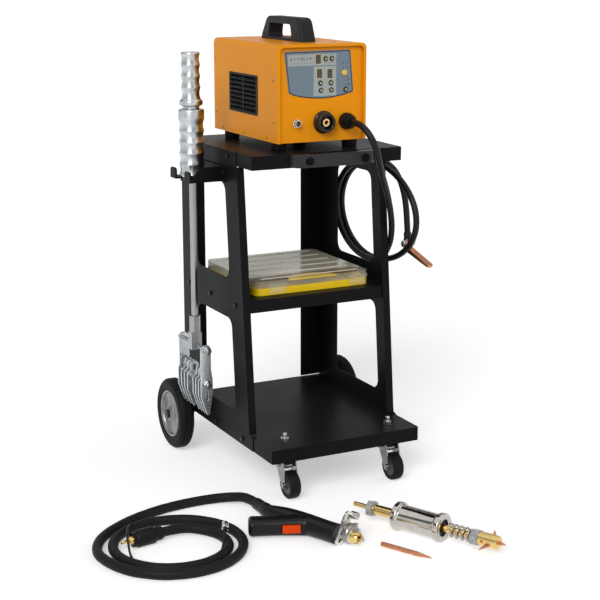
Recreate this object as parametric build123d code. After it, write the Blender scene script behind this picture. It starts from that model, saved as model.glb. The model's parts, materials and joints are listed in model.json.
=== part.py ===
from build123d import *
import math
import os

# Dent pulling welder on its trolley. Millimetres: X runs to the right, Y to the back, Z up from the floor.
# While modelling, X is 0 on the trolley's middle plane and Y is 0 on the deck's front edge.

# Middle of the whole set in plan; every piece is moved by it at the end
SET_X = -35.0
SET_Y = 39.0

# Fits
RUN_FIT = 0.05
FREE_FIT = 0.3
HOLE_FIT = 0.2

# Trolley sheet metal
TROLLEY_W = 412.0
TROLLEY_D = 538.0
SHEET = 2.0
DECK_Z = 102.0
DECK_APRON = 35.0
TRAY_FRONT = 105.0
TRAY_Z = 804.0
TRAY_APRON = 34.0
SHELF_TOP = 473.0
SHELF_LIP = 32.0
PLATE_FRONT = 108.0
UPRIGHT_FOOT = 128.0
UPRIGHT_LEAN = 0.0925
UPRIGHT_WEB = 74.0
REAR_STRIP = 100.0
LOW_BAND_TOP = 180.0
MID_BAND = (415.0, 517.0)
TOP_BAND = 755.0
WINDOW_R = 25.0
FRONT_FLANGE = 18.0
REAR_FLANGE = 62.0
BOLT_R = 3.0
BOLT_AF = 11.0
BOLT_HEAD = 4.0
BOLT_NUT = 5.0
LOW_REAR_BOLT_IN = 58.0
LOW_BOLTS = (169.0, 329.0, TROLLEY_D - LOW_REAR_BOLT_IN)
LOW_BOLT_Z = 118.0
MID_REAR_BOLT_IN = 41.0
MID_BOLTS = (204.0, 358.6, TROLLEY_D - MID_REAR_BOLT_IN)
MID_BOLT_Z = 455.6
TOP_REAR_BOLT_IN = 78.0
TOP_BOLTS = (240.0, TROLLEY_D - TOP_REAR_BOLT_IN)
TOP_BOLT_Z = 824.0

# Tray handle
BOW_X = 9.0
BOW_W = 232.0
BOW_H = 32.0
BOW_REACH = 27.0
BOW_PAD = 50.0
BOW_BAR = 13.0
BOW_SCREW_IN = 39.0

# Rear wheels and axle
WHEEL_R = 95.0
WHEEL_W = 40.0
WHEEL_X = 251.0
AXLE_IN = 29.0
AXLE_Y = TROLLEY_D - AXLE_IN
AXLE_R = 6.0
AXLE_HEAD_R = 12.0
AXLE_HEAD = 6.0
SPACER_R = 11.0
RIM_R = 62.0
HUB_R = 17.0
LUG_R = 24.0

# Casters
CASTER_X = 146.0
CASTER_Y = 54.0
CASTER_TRAIL = 31.0
CASTER_R = 35.0
CASTER_W = 28.0
CASTER_PIN_R = 4.0
CASTER_SEAT = 111.0
FORK_T = 3.0
CROWN_R = 28.0
CROWN_H = 9.0
STEM_R = 6.0
STEM_NUT_AF = 20.0

# Power source
BOX_W = 242.0
BOX_FRONT = 137.5
BOX_REAR = 514.5
BOX_Z = 858.5
BOX_H = 235.0
BOX_R = 12.0
BOX_T = 1.6
COVER_LIP = 7.0
PANEL_IN = 8.5
PANEL_STEP = 1.5
STEP_Z = 960.0
LABEL_T = 1.0
SOCKET_Z = 905.0
AVIATION_X = -67.3
CENTRAL_X = 6.1
GLAND_X = 68.3
CONTACT_R = 10.5
CONTACT_BORE = 4.7
GLAND_FACE_Y = 112.0
VENT_Y = (249.0, 416.0)
VENT_Z = (916.0, 1014.0)
VENT_ROWS = 8
FOOT_R = 19.0
FOOT_X = 98.0
FOOT_Y = (180.0, 455.0)
FAN_Z = 985.0
FAN_R = 44.0
FAN_PIN_R = 3.0
SWITCH_X = -78.0
SWITCH_Z = 915.0
SWITCH_W = 20.0
SWITCH_H = 28.0
SWITCH_TILT = 9.0
MAINS_X = 78.0
HANDLE_X = -1.0
HANDLE_W = 40.0
HANDLE_BASE = (207.0, 440.0)
HANDLE_TOP = (230.0, 405.0)
HANDLE_H = 58.0
HANDLE_CORNER = 24.0
HANDLE_GAP = (264.0, 396.0)
HANDLE_GAP_LEAN = 8.0
HANDLE_GAP_Z = (7.0, 17.0)
HANDLE_SCREWS = (-10.0, 8.0)
HANDLE_SCREW_Y = 240.0
HANDLE_SCREW_R = 3.5
CORE = (124.0, 74.0, 104.0)
CORE_WINDOW = (26.0, 62.0)
CORE_MID = 32.0
CORE_Y = 330.0
COIL_D = 112.0
LABEL_FOOT = ((-88.0, 977.0), (89.0, 976.0))
LABEL_HEAD = ((-100.0, 1077.0), (80.0, 1078.0))
LABEL_SAG = (0.0, 962.5)
LABEL_R = 6.0
KEY_R = 4.5
KEY_OUT = 1.8
KEYS = {
    "program_key_down": (12.0, 1057.6),
    "program_key_up": (29.0, 1057.6),
    "current_key_up": (-2.5, 999.6),
    "current_key_down": (26.3, 999.6),
    "time_key_up": (-0.8, 982.0),
    "time_key_down": (27.8, 982.0),
    "mode_key": (67.5, 981.6),
}
DISPLAYS = ((-8.5, 1057.0), (-5.0, 1022.5), (23.5, 1021.5))
DISPLAY_W = 16.0
DISPLAY_H = 24.0
LAMP = (63.5, 1022.5)
LAMP_R = 7.0

# Organiser box on the shelf
ORG_X = 7.5
ORG_W = 325.0
ORG_FRONT = 197.0
ORG_REAR = 512.0
ORG_BASE_H = 18.0
ORG_LID_H = 18.0
ORG_RIDGE = 1.6
ORG_RIDGES = 6
ORG_RIDGE_W = 4.0
ORG_CORNER = 20.0
ORG_T = 2.0
ORG_HINGE_R = 3.4
ORG_PIN_R = 1.5
ORG_HINGE_IN = 70.0
KNUCKLE = 12.0
HINGE_HALF = 30.0
LATCH_W = 46.0
LATCH_H = 22.0
LATCH_UP = 8.0
LATCH_IN = (59.0, 37.0)

# Claw puller hung on the left side
PULL_X = -258.0
PULL_AHEAD = 163.0
PULL_Y = AXLE_Y - PULL_AHEAD
PULL_ROD_R = 8.0
FORK_TOP = 762.0
FORK_SHEET = 5.0
FORK_CLEAR = 6.0
FORK_SLOT = 30.0
FORK_FRONT = 75.0
FORK_REAR = 50.0
FORK_TIP = 22.0
FORK_TIP_W = 33.0
FORK_TIP_R = 8.0
FORK_WALL = 32.0
FORK_RAKE = 28.0
WEIGHT_R = 32.5
WEIGHT_TOP = 931.0
HANDLE_RING_TOP = 954.0
PULL_TOP = 1070.0
COUPLING = (361.0, 404.0)
HOLLOW_POINTS = 6
COUPLING_AF = 26.0
YOKE_BOTTOM = 316.0
YOKE_W = 24.0
YOKE_Y = (PULL_Y - YOKE_W / 2, PULL_Y + YOKE_W / 2)
FINGER_STATIONS = (-71.0, -53.5, -36.0, -18.5, 18.5, 39.0, 59.0, 79.5)
FINGER_Y = tuple(PULL_Y + station for station in FINGER_STATIONS)
FINGER_T = 5.0
STRAP_TOP = 342.0
FINGER_TOP = 278.0
FINGER_SHOULDER = 256.0
CROOK_X = 5.0
CROOK_R = 11.0
CROOK_BORE = 5.0
FINGER_TIP = 158.0
FINGER_W = 32.0
CLAW_BOLT_Z = (328.0, 239.0)
CLAW_BOLT_R = 5.0

# Cable hook on the right side
HOOK_Y = 285.0
HOOK_R = 6.0
HOOK_OUT = 272.0
HOOK_TIP = 26.0

# Ground cable: a lead from the gland, then loops over the hook
CABLE_R = 8.0
LOOP_Y = 308.0
LOOP_Z = 645.0
LOOP_RY = 192.0
LOOP_RZ = 134.0
LOOP_X = 227.0
LOOP_PITCH = 17.6

# Gun, hose and plug on the floor
GUN_TAIL = (-262.0, -95.0)
GUN_NOSE = (-181.0, -288.0)
GUN_Z = 26.0
GUN_GRIP_AT = 120.0
GUN_GRIP_ANGLE = 225.0
GUN_GRIP_L = 138.0
GUN_GRIP_END = 9.0
GUN_BOOT_ANGLE = 160.0
GUN_BOOT_L = 64.0
BOOT_R = 14.5
TRIGGER_L = 42.0
TRIGGER_H = 19.0
TRIGGER_OUT = 5.0
NOSE_R = 16.0
NOSE_OFF = 11.0
SPIGOT_R = 10.0
STRAP_L = 54.0
STRAP_W = 28.0
COLLET_R = 14.0
COLLET_BORE = 6.2
HOSE_R = 12.0
SPIRAL_X = -520.0
SPIRAL_Y = -142.0
SPIRAL_OUT = 174.0
SPIRAL_LOSS = 33.0
PLUG_R = 20.0
PLUG_L = 78.0

# Slide hammer on the floor, stations along its axis from the rod tip
HAMMER_TIP = (-67.0, -157.0)
HAMMER_DIR = (0.435, -0.9, 0.0)
HAMMER_Z = 34.0
H_TIP_R = 6.0
H_NUT = (45.0, 58.0)
H_NUT_AF = 29.0
H_SLEEVE_R = 12.0
H_SLEEVE_END = 232.0
H_SHAFT_R = 8.5
H_WEIGHT = (122.0, 250.0)
H_WEIGHT_R = 29.0
H_FLANGE_R = 34.0
H_WEIGHT_PLAY = 12.0
H_SPRING_L = 56.0
H_SPRING_R = 13.0
H_SPRING_GAP = 3.0
H_SPRING_TURNS = 4
H_WIRE_R = 2.4
H_COLLAR_L = 21.0
H_STUD_L = 17.0
H_HEAD_L = 47.0
H_HEAD_R = 16.0
STAR_AT = 15.0
STAR_R = 32.0
STAR_SIDE = 38.0
STAR_T = 3.0
STAR_TILT = -72.0

# Electrode on the floor
ELECTRODE_R = 5.5
ELECTRODE_AT = (-96.0, -337.0)
ELECTRODE_DIR = (59.0, -118.0, 0.0)
ELECTRODE_L = 132.0
ELECTRODE_TAPER = 36.0

# Sizes that follow
HALF_W = TROLLEY_W / 2
PLATE_X = HALF_W + SHEET
DECK_RIM = DECK_Z + DECK_APRON
TRAY_RIM = TRAY_Z + TRAY_APRON
AXLE_Z = WHEEL_R
BOX_TOP = BOX_Z + BOX_H
PANEL_Y = BOX_FRONT + PANEL_IN
LOW_PANEL_Y = PANEL_Y - PANEL_STEP
REAR_Y = BOX_REAR - PANEL_IN
INNER_W = BOX_W - 2 * BOX_T - 2 * HOLE_FIT
ORG_SEAM = SHELF_TOP + ORG_BASE_H
FORK_OUT = WEIGHT_R + FORK_CLEAR - PULL_X
H_SPRING_FROM = H_WEIGHT[1] + H_WEIGHT_PLAY + H_SPRING_GAP
H_SPRING_TO = H_SPRING_FROM + H_SPRING_L
H_COLLAR = (H_SPRING_TO + H_SPRING_GAP, H_SPRING_TO + H_SPRING_GAP + H_COLLAR_L)
H_STUD = H_COLLAR[1] + H_STUD_L
H_HEAD_END = H_COLLAR[1] + H_HEAD_L


def block(x, y, z):
    return Pos(sum(x) / 2, sum(y) / 2, sum(z) / 2) * Box(x[1] - x[0], y[1] - y[0], z[1] - z[0])


def poly(*points):
    return make_face(Polyline(*points, close=True))


def rounded(face, radius):
    return fillet(face.vertices(), radius)


def slab_x(face, x0, x1):
    return extrude(Plane((x0, 0, 0), x_dir=(0, 1, 0), z_dir=(1, 0, 0)) * face, x1 - x0)


def slab_y(face, y0, y1):
    return extrude(Plane((0, y1, 0), x_dir=(1, 0, 0), z_dir=(0, -1, 0)) * face, y1 - y0)


def slab_z(face, z0, z1):
    return extrude(Plane((0, 0, z0)) * face, z1 - z0)


def disc(u, v, r):
    return Pos(u, v) * Circle(r)


def hexagon(u, v, flats):
    return Pos(u, v) * RegularPolygon(flats / 2, 6, major_radius=False)


def mirrored(solid):
    return mirror(solid, about=Plane.YZ)


def turned(*profile):
    return revolve(poly(*[(r, 0, h) for r, h in profile]), Axis.Z)


def turned_x(x, y, z, *profile):
    return Pos(x, y, z) * Rot(0, 90, 0) * turned(*profile)


def turned_y(x, y, z, *profile):
    return Pos(x, y, z) * Rot(-90, 0, 0) * turned(*profile)


def front_y(z):
    return UPRIGHT_FOOT + UPRIGHT_LEAN * (z - DECK_RIM)


def group(solids):
    return Compound(children=[s for s in solids])


def least_gap(path, radius):
    count = round(2 * path.length / radius)
    spots = [path @ (i / count) for i in range(count + 1)]
    apart = 16
    return min((a - b).length for i, a in enumerate(spots) for b in spots[i + apart:]) - 2 * radius


def cord(name, points, radius, bend):
    pts = [Vector(*p) for p in points]
    radii = []
    for before, here, after in zip(pts, pts[1:], pts[2:]):
        run_in = here - before
        run_out = after - here
        turn = math.radians(run_in.get_angle(run_out))
        radii.append(0.45 * min(run_in.length, run_out.length) / math.tan(turn / 2))
    path = FilletPolyline(*pts, radius=radii)
    tube = sweep(Plane(path @ 0, z_dir=path % 0) * Circle(radius), path)
    want = math.pi * radius ** 2 * path.length
    print(name, "least bend", round(min(radii), 1), "wanted", bend, "length", round(path.length))
    print(name, "volume ratio", round(tube.volume / want, 4), "solids", len(tube.solids()))
    print(name, "least gap to itself", round(least_gap(path, radius), 2))
    return tube


# Deck and top tray: sheets folded down into an apron all round, with a flat top
def pan(y0, y1, z0, apron):
    top = z0 + apron
    outer = block((-HALF_W, HALF_W), (y0, y1), (z0, top))
    outer = fillet(outer.edges().filter_by(Axis.Z), 4)
    return outer - block((SHEET - HALF_W, HALF_W - SHEET), (y0 + SHEET, y1 - SHEET), (z0, top - SHEET))


def bolt_holes(ys, z):
    holes = [slab_x(disc(y, z, BOLT_R + HOLE_FIT), HALF_W - SHEET - 1, PLATE_X + 1) for y in ys]
    return holes + [mirrored(hole) for hole in holes]


def trolley():
    nodes = {}
    low = bolt_holes(LOW_BOLTS, LOW_BOLT_Z)
    mid = bolt_holes(MID_BOLTS, MID_BOLT_Z)
    high = bolt_holes(TOP_BOLTS, TOP_BOLT_Z)

    deck = pan(0, TROLLEY_D, DECK_Z, DECK_APRON)
    for x in (-CASTER_X, CASTER_X):
        deck -= slab_z(disc(x, CASTER_Y, STEM_R + HOLE_FIT), DECK_Z, DECK_RIM)
    nodes["deck"] = deck - low

    tray = pan(TRAY_FRONT, TROLLEY_D, TRAY_Z, TRAY_APRON) - high
    bow_mid = (TRAY_Z + TRAY_RIM) / 2
    screw_x = [BOW_X - BOW_W / 2 + BOW_SCREW_IN, BOW_X + BOW_W / 2 - BOW_SCREW_IN]
    for x in screw_x:
        tray -= slab_y(disc(x, bow_mid, BOLT_R + HOLE_FIT), TRAY_FRONT - 1, TRAY_FRONT + SHEET + 1)
    nodes["top_tray"] = tray

    shelf_front = front_y(SHELF_TOP) + SHEET + FREE_FIT
    shelf_rear = TROLLEY_D - SHEET - FREE_FIT
    lip_z = SHELF_TOP - SHELF_LIP
    shelf = block((-HALF_W, HALF_W), (shelf_front, shelf_rear), (lip_z, SHELF_TOP))
    shelf = fillet(shelf.edges().filter_by(Axis.Z), 3)
    inside = (shelf_front + SHEET, shelf_rear - SHEET)
    shelf -= block((SHEET - HALF_W, HALF_W - SHEET), inside, (lip_z, SHELF_TOP - SHEET))
    nodes["shelf"] = shelf - mid

    # Side frame, drawn once for the right and mirrored
    outline = poly(
        (PLATE_FRONT, DECK_Z),
        (PLATE_FRONT, DECK_RIM - SHEET),
        (UPRIGHT_FOOT, DECK_RIM + 4),
        (front_y(TRAY_RIM), TRAY_RIM),
        (TROLLEY_D, TRAY_RIM),
        (TROLLEY_D, DECK_Z),
    )
    lug = disc(AXLE_Y, AXLE_Z, LUG_R)
    lug += poly(
        (AXLE_Y - LUG_R, AXLE_Z),
        (AXLE_Y + LUG_R, AXLE_Z),
        (AXLE_Y + LUG_R, DECK_RIM),
        (AXLE_Y - LUG_R, DECK_RIM),
    )
    rear_in = TROLLEY_D - REAR_STRIP
    plate = outline + lug - disc(AXLE_Y, AXLE_Z, AXLE_R + HOLE_FIT)
    for z0, z1 in ((LOW_BAND_TOP, MID_BAND[0]), (MID_BAND[1], TOP_BAND)):
        window = poly(
            (front_y(z0) + UPRIGHT_WEB, z0),
            (front_y(z1) + UPRIGHT_WEB, z1),
            (rear_in, z1),
            (rear_in, z0),
        )
        plate -= rounded(window, WINDOW_R)
    frame = slab_x(plate, HALF_W, PLATE_X)
    flange_z = (DECK_RIM + 2, TRAY_Z - 2)
    flange = poly(
        (front_y(flange_z[0]), flange_z[0]),
        (front_y(flange_z[0]) + SHEET, flange_z[0]),
        (front_y(flange_z[1]) + SHEET, flange_z[1]),
        (front_y(flange_z[1]), flange_z[1]),
    )
    frame += slab_x(flange, HALF_W - FRONT_FLANGE, PLATE_X)
    frame += block((HALF_W - REAR_FLANGE, PLATE_X), (TROLLEY_D - SHEET, TROLLEY_D), flange_z)
    bracket_z = (FORK_TOP + TRAY_Z) / 2 - 3
    for hole in low + mid + high:
        frame -= hole
    hook_bolts = (HOOK_Y - 28, HOOK_Y + 28)
    hook_z = TOP_BAND + 26
    right = frame
    for y in hook_bolts:
        right -= slab_x(disc(y, hook_z, BOLT_R + HOLE_FIT), HALF_W - 1, PLATE_X + 1)
    nodes["side_frame_right"] = right
    left = mirrored(frame)
    fork_bolts = (PULL_Y - FORK_FRONT - 12, PULL_Y + FORK_REAR + 14)
    for y in fork_bolts:
        left -= slab_x(disc(y, bracket_z, BOLT_R + HOLE_FIT), -PLATE_X - 1, 1 - HALF_W)
    nodes["side_frame_left"] = left

    # Frame bolts with their nuts; the head sits outside, the nut inside the fold
    def bolt(y, z, head_x, nut_x):
        shank = slab_x(disc(y, z, BOLT_R), nut_x - BOLT_NUT - 1, head_x + 1)
        head = slab_x(hexagon(y, z, BOLT_AF), head_x, head_x + BOLT_HEAD)
        return shank + head + slab_x(hexagon(y, z, BOLT_AF), nut_x - BOLT_NUT, nut_x)

    bolts = []
    for ys, z in ((LOW_BOLTS, LOW_BOLT_Z), (MID_BOLTS, MID_BOLT_Z), (TOP_BOLTS, TOP_BOLT_Z)):
        for y in ys:
            one = bolt(y, z, PLATE_X, HALF_W - SHEET)
            bolts += [one, mirrored(one)]
    for y in hook_bolts:
        bolts.append(bolt(y, hook_z, PLATE_X + SHEET, HALF_W))
    for y in fork_bolts:
        bolts.append(mirrored(bolt(y, bracket_z, PLATE_X + FORK_SHEET, HALF_W)))
    seat_y = TRAY_FRONT - 8
    for x in screw_x:
        screw = slab_y(disc(x, bow_mid, BOLT_R), seat_y - 1, TRAY_FRONT + SHEET + BOLT_NUT + 1)
        screw += slab_y(disc(x, bow_mid, BOLT_AF / 2), seat_y - BOLT_HEAD, seat_y)
        screw += slab_y(hexagon(x, bow_mid, BOLT_AF), TRAY_FRONT + SHEET, TRAY_FRONT + SHEET + BOLT_NUT)
        bolts.append(screw)
    nodes["frame_bolts"] = group(bolts)

    # Bow handle: two pads on the apron and a bar in front of the finger gap
    x0 = BOW_X - BOW_W / 2
    x1 = BOW_X + BOW_W / 2
    face_y = TRAY_FRONT - BOW_REACH
    bow = poly(
        (x0, TRAY_FRONT),
        (x0 + 4, TRAY_FRONT - 12),
        (x0 + 18, face_y),
        (x1 - 18, face_y),
        (x1 - 4, TRAY_FRONT - 12),
        (x1, TRAY_FRONT),
    )
    bow = fillet(bow.vertices().filter_by(lambda v: v.Y < TRAY_FRONT - 1), 9)
    gap = poly(
        (x0 + BOW_PAD, TRAY_FRONT),
        (x0 + BOW_PAD + 6, face_y + BOW_BAR),
        (x1 - BOW_PAD - 6, face_y + BOW_BAR),
        (x1 - BOW_PAD, TRAY_FRONT),
    )
    bow_z = (bow_mid - BOW_H / 2, bow_mid + BOW_H / 2)
    handle = slab_z(bow - gap, *bow_z)
    for x in screw_x:
        handle -= slab_y(disc(x, bow_mid, BOLT_AF / 2 + 1), face_y - 1, seat_y)
        handle -= slab_y(disc(x, bow_mid, BOLT_R + HOLE_FIT), face_y, TRAY_FRONT + 1)
    nodes["tray_handle"] = handle

    # Puller fork: back plate, slotted shelf with two upturned tips, and a raked wall along its front
    slot = Pos((PULL_X - FORK_OUT - 1) / 2, PULL_Y) * Rectangle(PULL_X + FORK_OUT + 1, FORK_SLOT)
    slot += disc(PULL_X, PULL_Y, FORK_SLOT / 2)
    fork_y = (PULL_Y - FORK_FRONT, PULL_Y + FORK_REAR)
    fork_z = (FORK_TOP - FORK_SHEET, FORK_TOP)
    fork = block((-FORK_OUT, -PLATE_X), fork_y, fork_z)
    fork -= slab_z(slot, fork_z[0] - 1, FORK_TOP + 1)
    tip = Pos(0, (fork_z[0] + FORK_TOP + FORK_TIP) / 2) * Rectangle(FORK_TIP_W, FORK_SHEET + FORK_TIP)
    tip = fillet(tip.vertices().group_by(Axis.Y)[-1], FORK_TIP_R)
    for y in (fork_y[0] + FORK_TIP_W / 2, fork_y[1] - FORK_TIP_W / 2):
        fork += slab_x(Pos(y, 0) * tip, -FORK_OUT, FORK_SHEET - FORK_OUT)
    wall = poly(
        (-FORK_OUT, fork_z[0]),
        (-PLATE_X, fork_z[0]),
        (-PLATE_X, FORK_TOP + FORK_WALL),
        (FORK_RAKE - FORK_OUT, FORK_TOP + FORK_WALL),
    )
    fork += slab_y(wall, fork_y[0], fork_y[0] + FORK_SHEET)
    back_y = (fork_bolts[0] - 8, fork_bolts[1] + 16)
    fork += block((-PLATE_X - FORK_SHEET, -PLATE_X), back_y, (fork_z[0], TRAY_Z - 8))
    for y in fork_bolts:
        fork -= slab_x(disc(y, bracket_z, BOLT_R + HOLE_FIT), -PLATE_X - FORK_SHEET - 1, -PLATE_X + 1)
    nodes["puller_fork"] = fork

    # Cable hook: plate, round peg and upturned tip
    peg_z = hook_peg_z()
    hook = block((PLATE_X, PLATE_X + SHEET), (HOOK_Y - 38, HOOK_Y + 38), (TOP_BAND + 1, TOP_BAND + 38))
    for y in hook_bolts:
        hook -= slab_x(disc(y, hook_z, BOLT_R + HOLE_FIT), PLATE_X - 1, PLATE_X + SHEET + 1)
    hook += slab_x(disc(HOOK_Y, peg_z, HOOK_R), PLATE_X + SHEET / 2, HOOK_OUT)
    hook += Pos(HOOK_OUT, HOOK_Y, peg_z) * Sphere(HOOK_R)
    hook += slab_z(disc(HOOK_OUT, HOOK_Y, HOOK_R), peg_z, peg_z + HOOK_TIP)
    nodes["cable_hook"] = hook
    return nodes


def hook_peg_z():
    side = (HOOK_Y - LOOP_Y) / LOOP_RY
    return LOOP_Z + LOOP_RZ * math.sqrt(1 - side ** 2) - CABLE_R - HOOK_R - 4.6


# Rear wheels on one through axle
def wheels():
    nodes = {}
    hub_half = WHEEL_W / 2 + 1
    inner_end = WHEEL_X - hub_half - FREE_FIT
    outer_end = WHEEL_X + hub_half + FREE_FIT
    axle = turned_x(
        0, AXLE_Y, AXLE_Z,
        (0, -outer_end - AXLE_HEAD), (AXLE_HEAD_R - 3, -outer_end - AXLE_HEAD),
        (AXLE_HEAD_R, -outer_end - AXLE_HEAD + 2), (AXLE_HEAD_R, -outer_end),
        (AXLE_R, -outer_end), (AXLE_R, -inner_end), (SPACER_R, -inner_end),
        (SPACER_R, -PLATE_X - HOLE_FIT), (AXLE_R, -PLATE_X - HOLE_FIT),
        (AXLE_R, PLATE_X + HOLE_FIT), (SPACER_R, PLATE_X + HOLE_FIT), (SPACER_R, inner_end),
        (AXLE_R, inner_end), (AXLE_R, outer_end), (AXLE_HEAD_R, outer_end),
        (AXLE_HEAD_R, outer_end + AXLE_HEAD - 2), (AXLE_HEAD_R - 3, outer_end + AXLE_HEAD),
        (0, outer_end + AXLE_HEAD),
    )
    nodes["axle"] = axle
    bore = AXLE_R + RUN_FIT
    half = WHEEL_W / 2
    rim = turned(
        (bore, -hub_half), (HUB_R, -hub_half), (HUB_R, 0), (30, 2), (44, 8), (RIM_R - 6, 8),
        (RIM_R - 6, -half + 2), (RIM_R + 1, -half + 2), (RIM_R + 1, -half + 4), (RIM_R - 2, -half + 6),
        (RIM_R - 2, half - 6), (RIM_R + 1, half - 4), (RIM_R + 1, half - 2), (RIM_R - 6, half - 2),
        (RIM_R - 6, 12), (43, 12), (29, 6), (HUB_R, 5), (HUB_R, hub_half), (bore, hub_half),
    )
    crown = []
    for c in (-8.0, 0.0, 8.0):
        floor = WHEEL_R - 2.4
        crown += [(WHEEL_R, c - 1.4), (floor, c - 1.0), (floor, c + 1.0), (WHEEL_R, c + 1.4)]
    tyre = turned(
        (RIM_R - 2 + HOLE_FIT, -half + 7), (RIM_R + 1 + HOLE_FIT, -half + 4.5), (RIM_R + 3, -half + 1),
        (RIM_R + 9, -half), (WHEEL_R - 11, -half), (WHEEL_R - 4, -half + 4), (WHEEL_R - 0.6, -half + 9),
        *crown,
        (WHEEL_R - 0.6, half - 9), (WHEEL_R - 4, half - 4), (WHEEL_R - 11, half), (RIM_R + 9, half),
        (RIM_R + 3, half - 1), (RIM_R + 1 + HOLE_FIT, half - 4.5), (RIM_R - 2 + HOLE_FIT, half - 7),
    )
    place = Pos(WHEEL_X, AXLE_Y, AXLE_Z) * Rot(0, 90, 0)
    nodes["rear_rim_right"] = place * rim
    nodes["rear_tyre_right"] = place * tyre
    nodes["rear_rim_left"] = mirrored(place * rim)
    nodes["rear_tyre_left"] = mirrored(place * tyre)
    return nodes


# Front casters: stem bolted through the deck, swivel fork, wheel on a pin
def casters():
    nodes = {}
    deck_under = DECK_RIM - SHEET
    crown_top = CASTER_SEAT - FREE_FIT
    crown_low = crown_top - CROWN_H
    stem = turned(
        (0, crown_low - 4), (STEM_R + 4, crown_low - 4), (STEM_R + 4, crown_low - FREE_FIT),
        (STEM_R, crown_low - FREE_FIT), (STEM_R, CASTER_SEAT), (CROWN_R - 4, CASTER_SEAT),
        (CROWN_R - 4, CASTER_SEAT + 4), (STEM_R + 6, CASTER_SEAT + 4), (STEM_R + 6, deck_under),
        (STEM_R, deck_under), (STEM_R, DECK_RIM + 20), (STEM_R - 1.5, DECK_RIM + 22), (0, DECK_RIM + 22),
    )
    stem += slab_z(hexagon(0, 0, STEM_NUT_AF), DECK_RIM, DECK_RIM + 10)
    stems = [Pos(x, CASTER_Y, 0) * stem for x in (-CASTER_X, CASTER_X)]
    nodes["caster_stems"] = group(stems)

    wheel_half = CASTER_W / 2
    hub_half = wheel_half + 2
    leg_in = hub_half + FREE_FIT
    leg_out = leg_in + FORK_T
    bridge_z = crown_low + 4
    leg = poly(
        (-20, bridge_z), (20, bridge_z), (17, crown_low - 8), (-CASTER_TRAIL + 13, CASTER_R - 4),
        (-CASTER_TRAIL, CASTER_R - 11), (-CASTER_TRAIL - 11, CASTER_R), (-26, crown_low - 12),
    )
    leg = fillet(leg.vertices().filter_by(lambda v: v.Y < crown_low - 5), 5)
    leg -= disc(-CASTER_TRAIL, CASTER_R, CASTER_PIN_R + RUN_FIT)
    fork = slab_x(leg, leg_in, leg_out)
    fork += mirrored(fork)
    fork += block((-leg_out, leg_out), (-20, 20), (crown_low, bridge_z))
    fork += slab_z(disc(0, 0, CROWN_R), bridge_z - 2, crown_top)
    fork -= slab_z(disc(0, 0, STEM_R + RUN_FIT), crown_low - 1, crown_top + 1)
    pin_end = leg_out + HOLE_FIT
    pin = turned_x(
        0, -CASTER_TRAIL, CASTER_R,
        (0, -pin_end - 4), (7, -pin_end - 4), (7, -pin_end), (CASTER_PIN_R, -pin_end),
        (CASTER_PIN_R, pin_end), (7, pin_end), (7, pin_end + 4), (0, pin_end + 4),
    )
    bore = CASTER_PIN_R + RUN_FIT
    wheel = turned_x(
        0, -CASTER_TRAIL, CASTER_R,
        (bore, -hub_half), (10, -hub_half), (11, -wheel_half + 3), (24, -wheel_half + 3), (26, -wheel_half),
        (CASTER_R - 4, -wheel_half), (CASTER_R, -wheel_half + 5), (CASTER_R, wheel_half - 5),
        (CASTER_R - 4, wheel_half), (26, wheel_half), (24, wheel_half - 3), (11, wheel_half - 3),
        (10, hub_half), (bore, hub_half),
    )
    for side, x in (("left", -CASTER_X), ("right", CASTER_X)):
        place = Pos(x, CASTER_Y, 0)
        nodes["caster_fork_" + side] = group([place * fork, place * pin])
        nodes["caster_wheel_" + side] = place * wheel
    return nodes


def arch(width, z0, z1, radius):
    face = Pos(0, (z0 + z1) / 2) * Rectangle(width, z1 - z0)
    return fillet(face.vertices().group_by(Axis.Y)[-1], radius)


def label_face():
    line = Polyline(LABEL_FOOT[0], *LABEL_HEAD, LABEL_FOOT[1])
    bulge = ThreePointArc(LABEL_FOOT[1], LABEL_SAG, LABEL_FOOT[0])
    return make_face(Curve() + [line, bulge])


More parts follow.
